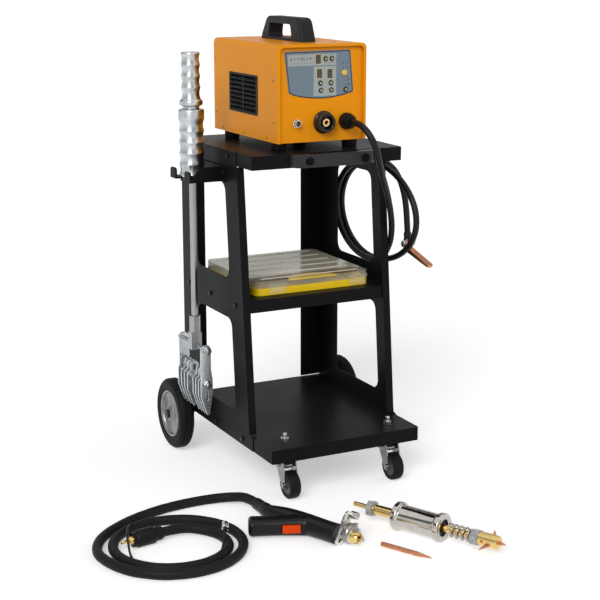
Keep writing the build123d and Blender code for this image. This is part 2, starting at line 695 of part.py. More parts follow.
# Power source on the top tray
def power_source():
    nodes = {}
    half = BOX_W / 2
    shell = arch(BOX_W, BOX_Z, BOX_TOP, BOX_R)
    hollow = arch(BOX_W - 2 * BOX_T, BOX_Z - 5, BOX_TOP - BOX_T, BOX_R - BOX_T)
    cover = slab_y(shell - hollow, BOX_FRONT, BOX_REAR)
    mouth = arch(BOX_W - 2 * COVER_LIP, BOX_Z - 5, BOX_TOP - COVER_LIP, BOX_R)
    cover += slab_y(shell - mouth, BOX_FRONT, BOX_FRONT + BOX_T)
    vent_hole = (VENT_Y[0] + 4, VENT_Y[1] - 4), (VENT_Z[0] + 4, VENT_Z[1] - 4)
    cover -= block((-half - 1, half + 1), *vent_hole)
    nodes["case_cover"] = cover

    # Chassis: front panel, base and rear panel folded from one sheet, with fan guard and switch frame
    panel_top = BOX_TOP - BOX_T - HOLE_FIT
    inner_half = INNER_W / 2
    upper = slab_y(arch(INNER_W, STEP_Z - 1, panel_top, BOX_R), PANEL_Y, PANEL_Y + SHEET)
    lower = block((-inner_half, inner_half), (LOW_PANEL_Y, LOW_PANEL_Y + SHEET), (BOX_Z, STEP_Z + 1))
    base = block((-inner_half, inner_half), (LOW_PANEL_Y, REAR_Y), (BOX_Z, BOX_Z + SHEET))
    back = slab_y(arch(INNER_W, BOX_Z, panel_top, BOX_R), REAR_Y - SHEET, REAR_Y)
    chassis = upper + lower + base
    for x, z in KEYS.values():
        chassis -= slab_y(disc(x, z, KEY_R + FREE_FIT), PANEL_Y - 5, PANEL_Y + 5)
    for x, r in ((AVIATION_X, 8.0), (CENTRAL_X, 21.0), (GLAND_X, 13.0)):
        chassis -= slab_y(disc(x, SOCKET_Z, r + HOLE_FIT), LOW_PANEL_Y - 1, LOW_PANEL_Y + SHEET + 1)
    spokes = Rectangle(2 * FAN_R, 5) + Rectangle(5, 2 * FAN_R)
    for r0, r1 in ((12, 19), (23, 30), (34, 41)):
        slots = Circle(r1) - Circle(r0) - spokes
        back -= slab_y(Pos(0, FAN_Z) * slots, REAR_Y - SHEET - 1, REAR_Y + 1)
    back -= slab_y(disc(MAINS_X, SWITCH_Z, 9 + HOLE_FIT), REAR_Y - SHEET - 1, REAR_Y + 1)
    frame_in = Rectangle(SWITCH_W, SWITCH_H)
    frame_out = Rectangle(SWITCH_W + 6, SWITCH_H + 6)
    bezel = slab_y(Pos(SWITCH_X, SWITCH_Z) * frame_out, REAR_Y - 16, REAR_Y + 2)
    back = back + bezel - slab_y(Pos(SWITCH_X, SWITCH_Z) * frame_in, REAR_Y - 20, REAR_Y + 5)
    pin_span = SWITCH_W / 2 + 2
    back -= slab_x(disc(REAR_Y - 6, SWITCH_Z, 2 + RUN_FIT), SWITCH_X - pin_span, SWITCH_X + pin_span)
    back += slab_y(disc(0, FAN_Z, FAN_PIN_R), REAR_Y - 34, REAR_Y - 1)
    nodes["chassis"] = chassis + back

    # Control label with its windows and the indicator lamp
    label = slab_y(label_face(), PANEL_Y - LABEL_T, PANEL_Y)
    label = fillet(label.edges().filter_by(Axis.Y), LABEL_R)
    for x, z in KEYS.values():
        label -= slab_y(disc(x, z, KEY_R + FREE_FIT), PANEL_Y - 5, PANEL_Y + 1)
    for x, z in DISPLAYS:
        window = Pos(x, z) * Rectangle(DISPLAY_W, DISPLAY_H)
        label -= slab_y(window, PANEL_Y - LABEL_T - 1, PANEL_Y - LABEL_T / 2)
    label += turned_y(
        LAMP[0], PANEL_Y - LABEL_T - 2.5, LAMP[1],
        (0, 0), (LAMP_R - 3, 0.4), (LAMP_R, 2), (LAMP_R, 3), (0, 3),
    )
    nodes["control_label"] = label

    # Push keys: each has a collar behind the panel that keeps it in
    key_front = PANEL_Y - LABEL_T - KEY_OUT
    collar = PANEL_Y + SHEET + FREE_FIT
    for name, (x, z) in KEYS.items():
        nodes[name] = turned_y(
            x, 0, z,
            (0, key_front), (KEY_R - 0.8, key_front), (KEY_R, key_front + 0.8), (KEY_R, collar),
            (KEY_R + 1.5, collar), (KEY_R + 1.5, collar + 1.5), (0, collar + 1.5),
        )

    # Vent grille, drawn once for the right side: flange outside, slats in the opening
    yc = sum(VENT_Y) / 2
    zc = sum(VENT_Z) / 2
    wide = VENT_Y[1] - VENT_Y[0]
    tall = VENT_Z[1] - VENT_Z[0]
    slot_w = (wide - 8 - 3 * 5) / 2
    pitch = (tall - 8) / VENT_ROWS
    grille = slab_x(Pos(yc, zc) * RectangleRounded(wide, tall, 5), half, half + 1.5)
    grille += slab_x(Pos(yc, zc) * Rectangle(wide - 9, tall - 9), half - 5, half)
    for side in (-1, 1):
        for row in range(VENT_ROWS):
            y = yc + side * (slot_w + 5) / 2
            z = VENT_Z[0] + 4 + pitch * (row + 0.5)
            opening = (y - slot_w / 2, y + slot_w / 2), (z - pitch / 2 + 1.2, z + pitch / 2 - 1.2)
            grille -= block((half - 6, half + 2), *opening)
            grille += Pos(half - 2, y, z) * Rot(0, 38, 0) * Box(9, slot_w + 2, 1.4)
    nodes["vent_grilles"] = group([grille, mirrored(grille)])

    # Carry handle on the cover
    z0 = BOX_TOP
    z1 = BOX_TOP + HANDLE_H
    side = poly(
        (HANDLE_BASE[0], z0), (HANDLE_BASE[0] + 4, z0 + 13), (HANDLE_TOP[0], z1),
        (HANDLE_TOP[1], z1), (HANDLE_BASE[1] - 4, z0 + 13), (HANDLE_BASE[1], z0),
    )
    side = fillet(side.vertices().filter_by(lambda v: v.Y > z0 + 1), HANDLE_CORNER)
    low = z0 + HANDLE_GAP_Z[0]
    high = z1 - HANDLE_GAP_Z[1]
    grasp = poly(
        (HANDLE_GAP[0], low), (HANDLE_GAP[0] + HANDLE_GAP_LEAN, high),
        (HANDLE_GAP[1] - HANDLE_GAP_LEAN, high), (HANDLE_GAP[1], low),
    )
    handle = slab_x(side - rounded(grasp, 8), HANDLE_X - HANDLE_W / 2, HANDLE_X + HANDLE_W / 2)
    top_edges = handle.edges().filter_by(Axis.Y).group_by(Axis.Z)[-1]
    handle = fillet(top_edges, 6)
    for x in HANDLE_SCREWS:
        handle -= slab_z(disc(HANDLE_X + x, HANDLE_SCREW_Y, HANDLE_SCREW_R), z1 - 14, z1 + 1)
    nodes["carry_handle"] = handle

    foot = turned(
        (0, TRAY_RIM), (FOOT_R - 2, TRAY_RIM), (FOOT_R, TRAY_RIM + 3), (FOOT_R, BOX_Z - 2),
        (FOOT_R - 2, BOX_Z), (0, BOX_Z),
    )
    nodes["feet"] = group([Pos(x, y, 0) * foot for x in (-FOOT_X, FOOT_X) for y in FOOT_Y])

    # Sockets and glands on the lower panel
    p = LOW_PANEL_Y
    nodes["central_socket"] = turned_y(
        CENTRAL_X, p, SOCKET_Z,
        (CONTACT_R, 32), (21, 32), (21, 0), (28, 0), (28, -4), (24, -7), (24, -19), (22, -20), (16.5, -20),
        (16.5, -2), (CONTACT_R, -2),
    )
    nodes["socket_contact"] = turned_y(
        CENTRAL_X, p, SOCKET_Z,
        (0, 30), (CONTACT_R - RUN_FIT, 30), (CONTACT_R - RUN_FIT, -15), (CONTACT_R - 1.5, -16.5),
        (CONTACT_BORE, -16.5), (CONTACT_BORE, 20), (0, 20),
    )
    nodes["aviation_socket"] = turned_y(
        AVIATION_X, p, SOCKET_Z,
        (0, 14), (8, 14), (8, 0), (10.5, 0), (10.5, -3), (8.6, -3), (8.6, -11), (6.4, -11), (6.4, -3),
        (0, -3),
    )
    gland = turned_y(
        GLAND_X, p, SOCKET_Z,
        (0, 12), (13, 12), (13, 0), (20.4, 0), (20.4, -9), (18, -10), (18, -22), (13, GLAND_FACE_Y - p),
        (0, GLAND_FACE_Y - p),
    )
    mains = turned_y(
        MAINS_X, REAR_Y, SWITCH_Z,
        (5, -12), (9, -12), (9, 0), (14, 0), (14, 8), (11, 9), (11, 17), (8.5, 20), (5, 20),
    )
    nodes["cable_glands"] = group([gland, mains])

    # Fan rotor on the pin behind the guard, rocker in its frame, transformer on the base
    hub = turned_y(
        0, REAR_Y - 30, FAN_Z,
        (FAN_PIN_R + RUN_FIT, 0), (14, 0), (16, 2), (16, 22), (FAN_PIN_R + RUN_FIT, 22),
    )
    for blade in range(7):
        one = Rot(0, blade * 360 / 7, 0) * Pos(27, 0, 0) * Rot(38, 0, 0) * Box(26, 2, 20)
        hub += Pos(0, REAR_Y - 19, FAN_Z) * one
    nodes["fan_rotor"] = hub
    rocker_w = SWITCH_W / 2 - FREE_FIT
    tall = SWITCH_H / 2 - 1.5
    pad = poly((-tall, -5), (0, -8), (tall, -5), (tall - 1, 5), (0, 3.4), (1 - tall, 5))
    rocker = extrude(Plane((-rocker_w, 0, 0), x_dir=(0, 0, 1), z_dir=(1, 0, 0)) * pad, 2 * rocker_w)
    rocker += slab_x(Circle(2), -rocker_w - 1.5, rocker_w + 1.5)
    nodes["power_switch"] = Pos(SWITCH_X, REAR_Y - 6, SWITCH_Z) * Rot(SWITCH_TILT, 0, 0) * rocker
    core = Box(*CORE)
    leg_x = (CORE_MID + CORE_WINDOW[0]) / 2
    for x in (-leg_x, leg_x):
        core -= Pos(x, 0, 0) * Box(CORE_WINDOW[0], CORE[1] + 6, CORE_WINDOW[1])
    coil = Box(CORE_MID + 2 * CORE_WINDOW[0] - 2, COIL_D, CORE_WINDOW[1] - 2)
    coil -= Box(CORE_MID + 1, CORE[1] + 1, CORE_WINDOW[1] + 8)
    seat = Pos(0, CORE_Y, BOX_Z + SHEET + CORE[2] / 2)
    nodes["transformer"] = group([seat * core, seat * coil])
    return nodes


# Organiser box with hinged lid and two latches
def organiser():
    nodes = {}
    x0 = ORG_X - ORG_W / 2
    x1 = ORG_X + ORG_W / 2
    y0 = ORG_FRONT
    y1 = ORG_REAR
    base = block((x0, x1), (y0, y1), (SHELF_TOP, ORG_SEAM))
    base = fillet(base.edges().filter_by(Axis.Z), ORG_CORNER)
    inside = block((x0 + ORG_T, x1 - ORG_T), (y0 + ORG_T, y1 - ORG_T), (SHELF_TOP + ORG_T, ORG_SEAM + 1))
    base -= fillet(inside.edges().filter_by(Axis.Z), ORG_CORNER - ORG_T)
    lid_z = ORG_SEAM + FREE_FIT
    lid_top = lid_z + ORG_LID_H
    lid = block((x0, x1), (y0, y1), (lid_z, lid_top))
    lid = fillet(lid.edges().filter_by(Axis.Z), ORG_CORNER)
    hollow = block((x0 + 3, x1 - 3), (y0 + 3, y1 - 3), (lid_z, lid_top - ORG_T))
    lid -= fillet(hollow.edges().filter_by(Axis.Z), ORG_CORNER - 3)
    margin = ORG_CORNER + 4
    ridge_pitch = (y1 - y0 - 2 * margin) / (ORG_RIDGES - 1)
    for i in range(ORG_RIDGES):
        y = y0 + margin + ridge_pitch * i
        ridge_y = (y - ORG_RIDGE_W / 2, y + ORG_RIDGE_W / 2)
        lid += block((x0 + margin, x1 - margin), ridge_y, (lid_top - 1, lid_top + ORG_RIDGE))

    # Rear hinge: knuckles of the base and the lid in turn on one pin
    hinge_y = y1 + ORG_HINGE_R + FREE_FIT
    hinge_z = ORG_SEAM - 2
    pin_hole = []
    for centre in (x0 + ORG_HINGE_IN, x1 - ORG_HINGE_IN):
        own = (centre - KNUCKLE, centre + KNUCKLE)
        ends = (centre - HINGE_HALF, centre + HINGE_HALF)
        base += slab_x(disc(hinge_y, hinge_z, ORG_HINGE_R), *own)
        base += block(own, (y1 - 1, hinge_y), (hinge_z - ORG_HINGE_R, hinge_z))
        base += slab_x(disc(hinge_y, hinge_z, ORG_PIN_R), *ends)
        for a, b in ((ends[0], own[0] - FREE_FIT), (own[1] + FREE_FIT, ends[1])):
            lid += slab_x(disc(hinge_y, hinge_z, ORG_HINGE_R), a, b)
            lid += block((a, b), (y1 - 1, hinge_y + ORG_HINGE_R), (lid_z, lid_z + 3))
            lid += block((a, b), (hinge_y, hinge_y + ORG_HINGE_R), (hinge_z, lid_z + 1))
            pin_hole.append(slab_x(disc(hinge_y, hinge_z, ORG_PIN_R + RUN_FIT), a - 1, b + 0.1))
    for hole in pin_hole:
        lid -= hole
    nodes["organiser_base"] = base

    # Latches hang from ears on the lid, just clear of the base's front
    latch_z = lid_z + LATCH_UP
    latch_y = y0 - 4
    latch_low = latch_z - LATCH_H
    half = LATCH_W / 2
    for name, x in (("left", x0 + LATCH_IN[0]), ("right", x1 - LATCH_IN[1])):
        for a, b in ((x - half - 4, x - half - FREE_FIT), (x + half + FREE_FIT, x + half + 4)):
            lid += block((a, b), (latch_y - 2.5, y0 + 1), (latch_z - 4, latch_z + 4))
        lid += slab_x(disc(latch_y, latch_z, ORG_PIN_R), x - half - 2, x + half + 2)
        latch = block((x - half, x + half), (latch_y - 1.5, latch_y + 1.5), (latch_low, latch_z))
        latch += slab_x(disc(latch_y, latch_z, 3), x - half, x + half)
        latch += block((x - half, x + half), (latch_y - 3.5, latch_y), (latch_low, latch_low + 4))
        latch -= slab_x(disc(latch_y, latch_z, ORG_PIN_R + RUN_FIT), x - half - 1, x + half + 1)
        nodes["organiser_latch_" + name] = latch
    nodes["organiser_lid"] = lid
    return nodes


# Outline of a turned grip: sharp ridges with shallow round hollows between them
def hollowed(z0, z1, count, low, high):
    line = []
    for i in range(count * HOLLOW_POINTS + 1):
        t = i / HOLLOW_POINTS % 1
        line.append((low + (high - low) * (2 * t - 1) ** 2, z0 + (z1 - z0) * i / count / HOLLOW_POINTS))
    return line


# Claw puller: a weight rests on the fork, the rod slides through it
def puller():
    nodes = {}
    place = Pos(PULL_X, PULL_Y, 0)
    bore = PULL_ROD_R + FREE_FIT
    z0 = FORK_TOP + FREE_FIT
    nodes["puller_weight"] = place * turned(
        (bore, z0), (WEIGHT_R - 8, z0), (WEIGHT_R - 5, z0 + 3),
        *hollowed(z0 + 5, WEIGHT_TOP - 26, 5, WEIGHT_R - 3.5, WEIGHT_R - 1),
        (WEIGHT_R, WEIGHT_TOP - 24), (WEIGHT_R, WEIGHT_TOP - 3), (WEIGHT_R - 3, WEIGHT_TOP),
        (bore, WEIGHT_TOP),
    )
    hold = PULL_ROD_R + HOLE_FIT
    neck = WEIGHT_TOP + FREE_FIT
    rod_top = PULL_TOP - 14
    nodes["puller_handle"] = place * turned(
        (hold, neck), (21, neck), (21, neck + 7), (26, neck + 8), (29, neck + 11),
        (29, HANDLE_RING_TOP - 3), (26, HANDLE_RING_TOP),
        *hollowed(HANDLE_RING_TOP + 2, PULL_TOP - 3, 4, 21.5, 24),
        (22, PULL_TOP), (0, PULL_TOP), (0, rod_top), (hold, rod_top),
    )

    # Rod, coupling and yoke in one; the lower cross bolt carries spacers between the fingers
    rod = slab_z(disc(0, 0, PULL_ROD_R), COUPLING[0], rod_top)
    rod += slab_z(hexagon(0, 0, COUPLING_AF), *COUPLING)
    rod = place * rod
    rod += block((PULL_X - 14, PULL_X + 14), YOKE_Y, (YOKE_BOTTOM, COUPLING[0]))
    rod -= slab_y(disc(PULL_X, CLAW_BOLT_Z[0], CLAW_BOLT_R + HOLE_FIT), YOKE_Y[0] - 1, YOKE_Y[1] + 1)
    gap = FINGER_T / 2 + HOLE_FIT
    first = FINGER_Y[0] - gap
    last = FINGER_Y[-1] + gap
    tools = [rod]
    for z in CLAW_BOLT_Z:
        r = CLAW_BOLT_R
        line = [(0, first - 7), (9, first - 7), (9, first), (r, first)]
        for a, b in zip(FINGER_Y, FINGER_Y[1:]):
            if z == CLAW_BOLT_Z[1]:
                line += [(r, a + gap), (r + 3, a + gap), (r + 3, b - gap), (r, b - gap)]
        line += [(r, last), (9, last), (9, last + 7), (0, last + 7)]
        tools.append(turned_y(PULL_X, 0, z, *line))
    nodes["puller_rod"] = group(tools)

    # The outer two fingers are straps up to the yoke's bolt, the others end in a crook above the lower bolt
    half = FINGER_W / 2
    foot = [(half, 215), (7, FINGER_TIP), (0, FINGER_TIP), (-half, 205), (-half, 245)]
    neck = half - 6
    strap = poly((-neck, STRAP_TOP), (neck, STRAP_TOP), (neck, 290), (half, 250), *foot, (-neck, 268))
    strap = fillet(strap.vertices().group_by(Axis.Y)[-1], 8)
    strap -= disc(0, CLAW_BOLT_Z[0], CLAW_BOLT_R + HOLE_FIT)
    crook_z = FINGER_TOP - CROOK_R
    stem_x = (CROOK_X - CROOK_R, CROOK_X - CROOK_BORE)
    crook = disc(CROOK_X, crook_z, CROOK_R) - disc(CROOK_X, crook_z, CROOK_BORE)
    crook -= Pos(CROOK_X, crook_z - 4 - CROOK_R) * Rectangle(4 * CROOK_R, 2 * CROOK_R)
    crook += poly(
        (stem_x[0], FINGER_SHOULDER - 1), (stem_x[1], FINGER_SHOULDER - 1), (stem_x[1], crook_z),
        (stem_x[0], crook_z),
    )
    shoulder = FINGER_SHOULDER
    finger = poly((stem_x[1], shoulder), (half, shoulder - 14), *foot, (stem_x[0], shoulder))
    finger += crook
    slot = Pos(0, 209) * SlotCenterToCenter(22, 8, rotation=90)
    fingers = []
    for y in FINGER_Y:
        face = strap if y in (FINGER_Y[0], FINGER_Y[-1]) else finger
        face = face - slot - disc(0, CLAW_BOLT_Z[1], CLAW_BOLT_R + HOLE_FIT)
        fingers.append(Pos(PULL_X, 0, 0) * slab_y(face, y - FINGER_T / 2, y + FINGER_T / 2))
    nodes["claw_fingers"] = group(fingers)
    return nodes


# Ground cable: gland, down past the tray, one and a half loops over the hook, then the lug
def ground():
    nodes = {}
    points = [
        (GLAND_X, GLAND_FACE_Y, SOCKET_Z), (GLAND_X, 74, SOCKET_Z), (76, 43, 885), (89, 30, 852),
        (104, 40, 814), (126, 62, 776), (154, 92, 740), (182, 125, 703), (203, 147, 660), (217, 165, 615),
        (224, 188, 570),
    ]
    loop = []
    for step in range(20):
        turn = 252 + 30 * step
        a = math.radians(turn)
        x = LOOP_X + LOOP_PITCH * step / 12
        loop.append((x, LOOP_Y + LOOP_RY * math.cos(a), LOOP_Z + LOOP_RZ * math.sin(a)))
    tail = [(260, 220, 757), (263, 188, 716), (264, 172, 664), (264, 166, 606)]
    nodes["ground_cable"] = cord("ground_cable", points + loop + tail, CABLE_R, 3 * 2 * CABLE_R)

    # Lug: barrel on the cable end, then the bent copper contact bar
    end = Vector(*tail[-1])
    along = (end - Vector(*tail[-2])).normalized()
    barrel = Cylinder(CABLE_R + 2, 24, align=(Align.CENTER, Align.CENTER, Align.MIN))
    barrel = Plane(end, z_dir=along) * barrel
    foot = end + along * 22
    bar = poly(
        (foot.Y - 8, foot.Z + 6), (foot.Y + 8, foot.Z + 4), (foot.Y + 6, foot.Z - 24),
        (foot.Y - 112, foot.Z - 50), (foot.Y - 114, foot.Z - 44), (foot.Y - 10, foot.Z - 16),
    )
    bar = slab_x(bar, foot.X - 9, foot.X + 9)
    corners = bar.edges().filter_by(lambda e: e.length < 9 and e.center().Y < foot.Y - 100)
    nodes["ground_lug"] = barrel + fillet(corners, 8)
    return nodes


# Gun lying on its side; its own X runs to the nose
def gun():
    nodes = {}
    tail = Vector(*GUN_TAIL)
    nose = Vector(*GUN_NOSE)
    length = (nose - tail).length
    heading = math.degrees(math.atan2(nose.Y - tail.Y, nose.X - tail.X))
    place = Location((tail.X, tail.Y, GUN_Z), (0, 0, heading))

    sections = []
    for u, wide, tall in ((0, 17, 17), (30, 22, 21), (75, 25, 24.5), (140, 25, 24.5), (length, 23.5, 24.5)):
        sections.append(Plane((u, 0, 0), x_dir=(0, 1, 0), z_dir=(1, 0, 0)) * Ellipse(wide, tall))
    shell = loft(sections)
    lean = math.radians(GUN_GRIP_ANGLE)
    out = Vector(math.cos(lean), math.sin(lean), 0)
    joint = Vector(GUN_GRIP_AT, 0, 0)
    front = Vector(-out.Y, out.X, 0)
    grips = []
    for s, wide, tall in ((0, 50, 46), (60, 46, 42), (GUN_GRIP_L, 48, 43)):
        plane = Plane(joint + out * s, x_dir=(front.X, front.Y, 0), z_dir=(out.X, out.Y, 0))
        grips.append(plane * RectangleRounded(wide, tall, 16))
    grip = loft(grips)
    grip_end = max(grip.faces(), key=lambda f: f.center().dot(out))
    shell += fillet(grip_end.edges(), GUN_GRIP_END)
    back = math.radians(GUN_BOOT_ANGLE)
    boot_dir = Vector(math.cos(back), math.sin(back), 0)
    shell += Sphere(17)
    shell += Plane((0, 0, 0), z_dir=boot_dir) * turned(
        (0, 0), (17, 0), (17, 18), (BOOT_R + 1, 24), (BOOT_R, GUN_BOOT_L), (0, GUN_BOOT_L),
    )

    # Trigger pocket on the grip's front face
    press = front if front.X > 0 else front * -1
    face_at = joint + out * 40 + press * 23.5
    seat = Plane(face_at, x_dir=(out.X, out.Y, 0), z_dir=(press.X, press.Y, 0))
    fit = 2 * FREE_FIT
    pocket = seat * Pos(0, 0, -5) * Box(TRIGGER_L + fit, TRIGGER_H + fit, 16)
    shell -= pocket
    trigger = Pos(0, 0, (TRIGGER_OUT - 6) / 2) * Box(TRIGGER_L, TRIGGER_H, TRIGGER_OUT + 6)
    trigger = fillet(trigger.edges().group_by(Axis.Z)[-1], 1.5)
    nodes["gun_trigger"] = place * (seat * trigger)

    # Nose: socketed steel spigot with slotted strap, screw, clamp ear, nut and lever
    ahead = Pos(length, NOSE_OFF, 0) * Rot(0, 90, 0)
    hole = SPIGOT_R + HOLE_FIT
    shell -= ahead * turned((0, -20), (hole, -20), (hole, 2), (0, 2))
    nodes["gun_shell"] = place * shell
    metal = ahead * turned(
        (0, -19), (SPIGOT_R, -19), (SPIGOT_R, FREE_FIT), (NOSE_R, FREE_FIT), (NOSE_R, 30),
        (NOSE_R - 3, 33), (0, 33),
    )
    strap = Plane((length + 1, 14, 11), x_dir=(0, 1, 0), z_dir=(1, 0, 0))
    lean = Rot(0, 0, 56)
    strap_face = lean * SlotCenterToCenter(STRAP_L, STRAP_W)
    for s in (-STRAP_L / 2, STRAP_L / 2):
        strap_face -= lean * Pos(s, 0) * SlotCenterToCenter(8, 7)
    metal += extrude(strap * strap_face, 5)
    knob = Plane((length + 5, 43, 36), z_dir=(1, 0, 0))
    metal += knob * Cylinder(9, 16, align=(Align.CENTER, Align.CENTER, Align.MIN))
    metal += block((length + 14, length + 28), (NOSE_OFF, NOSE_OFF + 31), (-4, 8))
    metal += Pos(length + 21, NOSE_OFF + 24, 7) * slab_z(hexagon(0, 0, 14), 0, 13)
    lever = Cylinder(5.5, 26, align=(Align.CENTER, Align.CENTER, Align.MIN))
    metal += Plane((length + 26, NOSE_OFF + 27, 4), z_dir=(12, 4, -26)) * lever
    seat_r = COLLET_R - 2
    nodes["gun_nose"] = place * (metal - ahead * turned((0, 12), (seat_r, 12), (seat_r, 40), (0, 40)))
    shank = seat_r - HOLE_FIT
    collet = turned(
        (COLLET_BORE, 12 + FREE_FIT), (shank, 12 + FREE_FIT), (shank, 33), (COLLET_R, 33 + FREE_FIT),
        (COLLET_R, 48), (COLLET_R - 2, 51), (COLLET_BORE, 51),
    )
    for angle in (0, 90):
        collet -= Pos(0, 0, 46) * Rot(0, 0, angle + 45) * Box(40, 2.4, 12)
    nodes["gun_collet"] = place * (ahead * collet)

    # Hose: from the boot round to a flat coil with no crossing, then into the plug
    start = place * (Plane((0, 0, 0), z_dir=boot_dir) * Pos(0, 0, GUN_BOOT_L) * Sphere(1))
    here = start.center()
    straight = place * Pos(*(boot_dir * (GUN_BOOT_L + 44))) * Sphere(1)
    second = straight.center()
    points = [
        (here.X, here.Y, here.Z), (second.X, second.Y, second.Z), (-290, 54, 17), (-330, 76, 12),
        (-402, 78, 12), (-470, 68, 12), (-535, 47, 12), (-600, 14, 12), (-656, -32, 12), (-688, -88, 12),
    ]
    for step in range(19):
        a = math.radians(180 + 30 * step)
        r = SPIRAL_OUT - SPIRAL_LOSS * step / 12 - max(0, step - 17) * 8
        points.append((SPIRAL_X + r * math.cos(a), SPIRAL_Y + r * math.sin(a), HOSE_R))
    points += [(-429, -97, 14), (-475, -74, PLUG_R), (-527, -82, PLUG_R)]
    nodes["gun_hose"] = cord("gun_hose", points, HOSE_R, 3 * 2 * HOSE_R)
    end = Vector(*points[-1])
    along = (end - Vector(*points[-2])).normalized()
    level = Vector(along.X, along.Y, 0).normalized()
    pin = CONTACT_BORE - HOLE_FIT
    plug = turned(
        (0, 0), (HOSE_R + 2, 0), (HOSE_R + 4, 6), (HOSE_R + 4, 20), (PLUG_R, 24), (PLUG_R, PLUG_L - 12),
        (PLUG_R - 3, PLUG_L - 8), (PLUG_R - 3, PLUG_L), (9, PLUG_L), (9, PLUG_L + 8), (pin, PLUG_L + 9),
        (pin, PLUG_L + 25), (pin - 2, PLUG_L + 27), (0, PLUG_L + 27),
    )
    nodes["hose_plug"] = Plane(end, z_dir=level) * plug
    return nodes


# Slide hammer lying on the floor, drawn along its axis
def hammer():
    nodes = {}
    place = Plane((HAMMER_TIP[0], HAMMER_TIP[1], HAMMER_Z), z_dir=HAMMER_DIR, x_dir=(0, 0, 1))
    head_start = H_COLLAR[1] + FREE_FIT
    shaft = turned(
        (0, 0), (H_TIP_R - 1, 0), (H_TIP_R, 1.5), (H_TIP_R, H_NUT[0] + 1), (H_SLEEVE_R, H_NUT[0] + 1),
        (H_SLEEVE_R, H_SLEEVE_END), (H_SHAFT_R, H_SLEEVE_END + 3), (H_SHAFT_R, H_STUD), (0, H_STUD),
    )
    shaft += slab_z(hexagon(0, 0, H_NUT_AF), *H_NUT)
    shaft += slab_z(hexagon(0, 0, H_NUT_AF), *H_COLLAR)
    nodes["hammer_shaft"] = place * shaft
    a, b = H_WEIGHT
    bore = H_SLEEVE_R + FREE_FIT
    nodes["hammer_weight"] = place * turned(
        (bore, a), (H_FLANGE_R - 2, a), (H_FLANGE_R, a + 2), (H_FLANGE_R, a + 12), (H_FLANGE_R - 1, a + 14),
        (H_WEIGHT_R, a + 17), (H_WEIGHT_R, b - 17), (H_FLANGE_R - 1, b - 14), (H_FLANGE_R, b - 12),
        (H_FLANGE_R, b - 2), (H_FLANGE_R - 2, b), (bore, b),
    )
    per_turn = 10
    count = H_SPRING_TURNS * per_turn
    points = []
    for i in range(count + 1):
        angle = 2 * math.pi * i / per_turn
        rise = H_SPRING_FROM + H_SPRING_L * i / count
        points.append((H_SPRING_R * math.cos(angle), H_SPRING_R * math.sin(angle), rise))
    nodes["hammer_spring"] = place * cord("hammer_spring", points, H_WIRE_R, 2 * H_WIRE_R)
    head = turned(
        (0, H_STUD + 1), (H_SHAFT_R + HOLE_FIT, H_STUD + 1), (H_SHAFT_R + HOLE_FIT, head_start),
        (H_HEAD_R, head_start), (H_HEAD_R, H_HEAD_END - 2), (H_HEAD_R - 2, H_HEAD_END), (0, H_HEAD_END),
    )
    head -= Pos(0, 0, head_start + 12) * Rot(90, 0, 0) * Cylinder(4, 3 * H_HEAD_R)

    # Three-point star bit: a flat plate through the head's end, its first point ahead
    at = H_HEAD_END - STAR_AT
    waist = STAR_R / 4
    back = -STAR_R / 2
    star = poly(
        (0, at + STAR_R), (waist, at + waist), (STAR_SIDE, at + back), (0, at - waist),
        (-STAR_SIDE, at + back), (-waist, at + waist),
    )
    star = Rot(0, 0, STAR_TILT) * slab_y(star, -STAR_T / 2, STAR_T / 2)
    nodes["hammer_head"] = place * (head + star)
    return nodes


def electrode():
    place = Plane((*ELECTRODE_AT, ELECTRODE_R), z_dir=ELECTRODE_DIR)
    rod = turned(
        (0, 0), (ELECTRODE_R - 1, 0), (ELECTRODE_R, 1), (ELECTRODE_R, ELECTRODE_L - ELECTRODE_TAPER),
        (1.2, ELECTRODE_L), (0, ELECTRODE_L),
    )
    return {"copper_electrode": place * rod}


def main():
    os.makedirs("parts", exist_ok=True)
    nodes = {}
    for make in (trolley, wheels, casters, power_source, organiser, puller, ground, gun, hammer, electrode):
        nodes.update(make())
    shift = Pos(-SET_X, -SET_Y, 0)
    for name, shape in nodes.items():
        export_step(shift * shape, os.path.join("parts", name + ".step"))
    print(len(nodes), "nodes")


main()
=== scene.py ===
import json
import math

import bmesh
import bpy
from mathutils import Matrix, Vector, noise

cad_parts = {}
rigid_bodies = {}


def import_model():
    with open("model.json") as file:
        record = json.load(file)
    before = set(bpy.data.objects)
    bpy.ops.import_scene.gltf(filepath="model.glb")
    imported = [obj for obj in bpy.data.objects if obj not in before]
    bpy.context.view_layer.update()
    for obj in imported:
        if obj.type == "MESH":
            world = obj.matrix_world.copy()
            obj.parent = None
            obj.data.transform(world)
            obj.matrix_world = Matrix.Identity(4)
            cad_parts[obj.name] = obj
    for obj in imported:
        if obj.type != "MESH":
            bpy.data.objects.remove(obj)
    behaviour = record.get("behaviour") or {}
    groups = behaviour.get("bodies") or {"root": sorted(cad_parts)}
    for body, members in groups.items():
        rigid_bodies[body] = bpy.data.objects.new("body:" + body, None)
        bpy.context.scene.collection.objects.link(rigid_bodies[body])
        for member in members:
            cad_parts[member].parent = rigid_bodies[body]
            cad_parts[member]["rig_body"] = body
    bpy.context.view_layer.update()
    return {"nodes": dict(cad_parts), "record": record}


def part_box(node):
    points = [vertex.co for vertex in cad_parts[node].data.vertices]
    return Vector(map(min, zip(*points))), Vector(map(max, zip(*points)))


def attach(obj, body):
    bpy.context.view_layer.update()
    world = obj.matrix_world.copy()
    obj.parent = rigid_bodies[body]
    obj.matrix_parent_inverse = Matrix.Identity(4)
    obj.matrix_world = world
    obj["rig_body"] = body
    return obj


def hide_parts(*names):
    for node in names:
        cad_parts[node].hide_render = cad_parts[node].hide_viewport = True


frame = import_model()

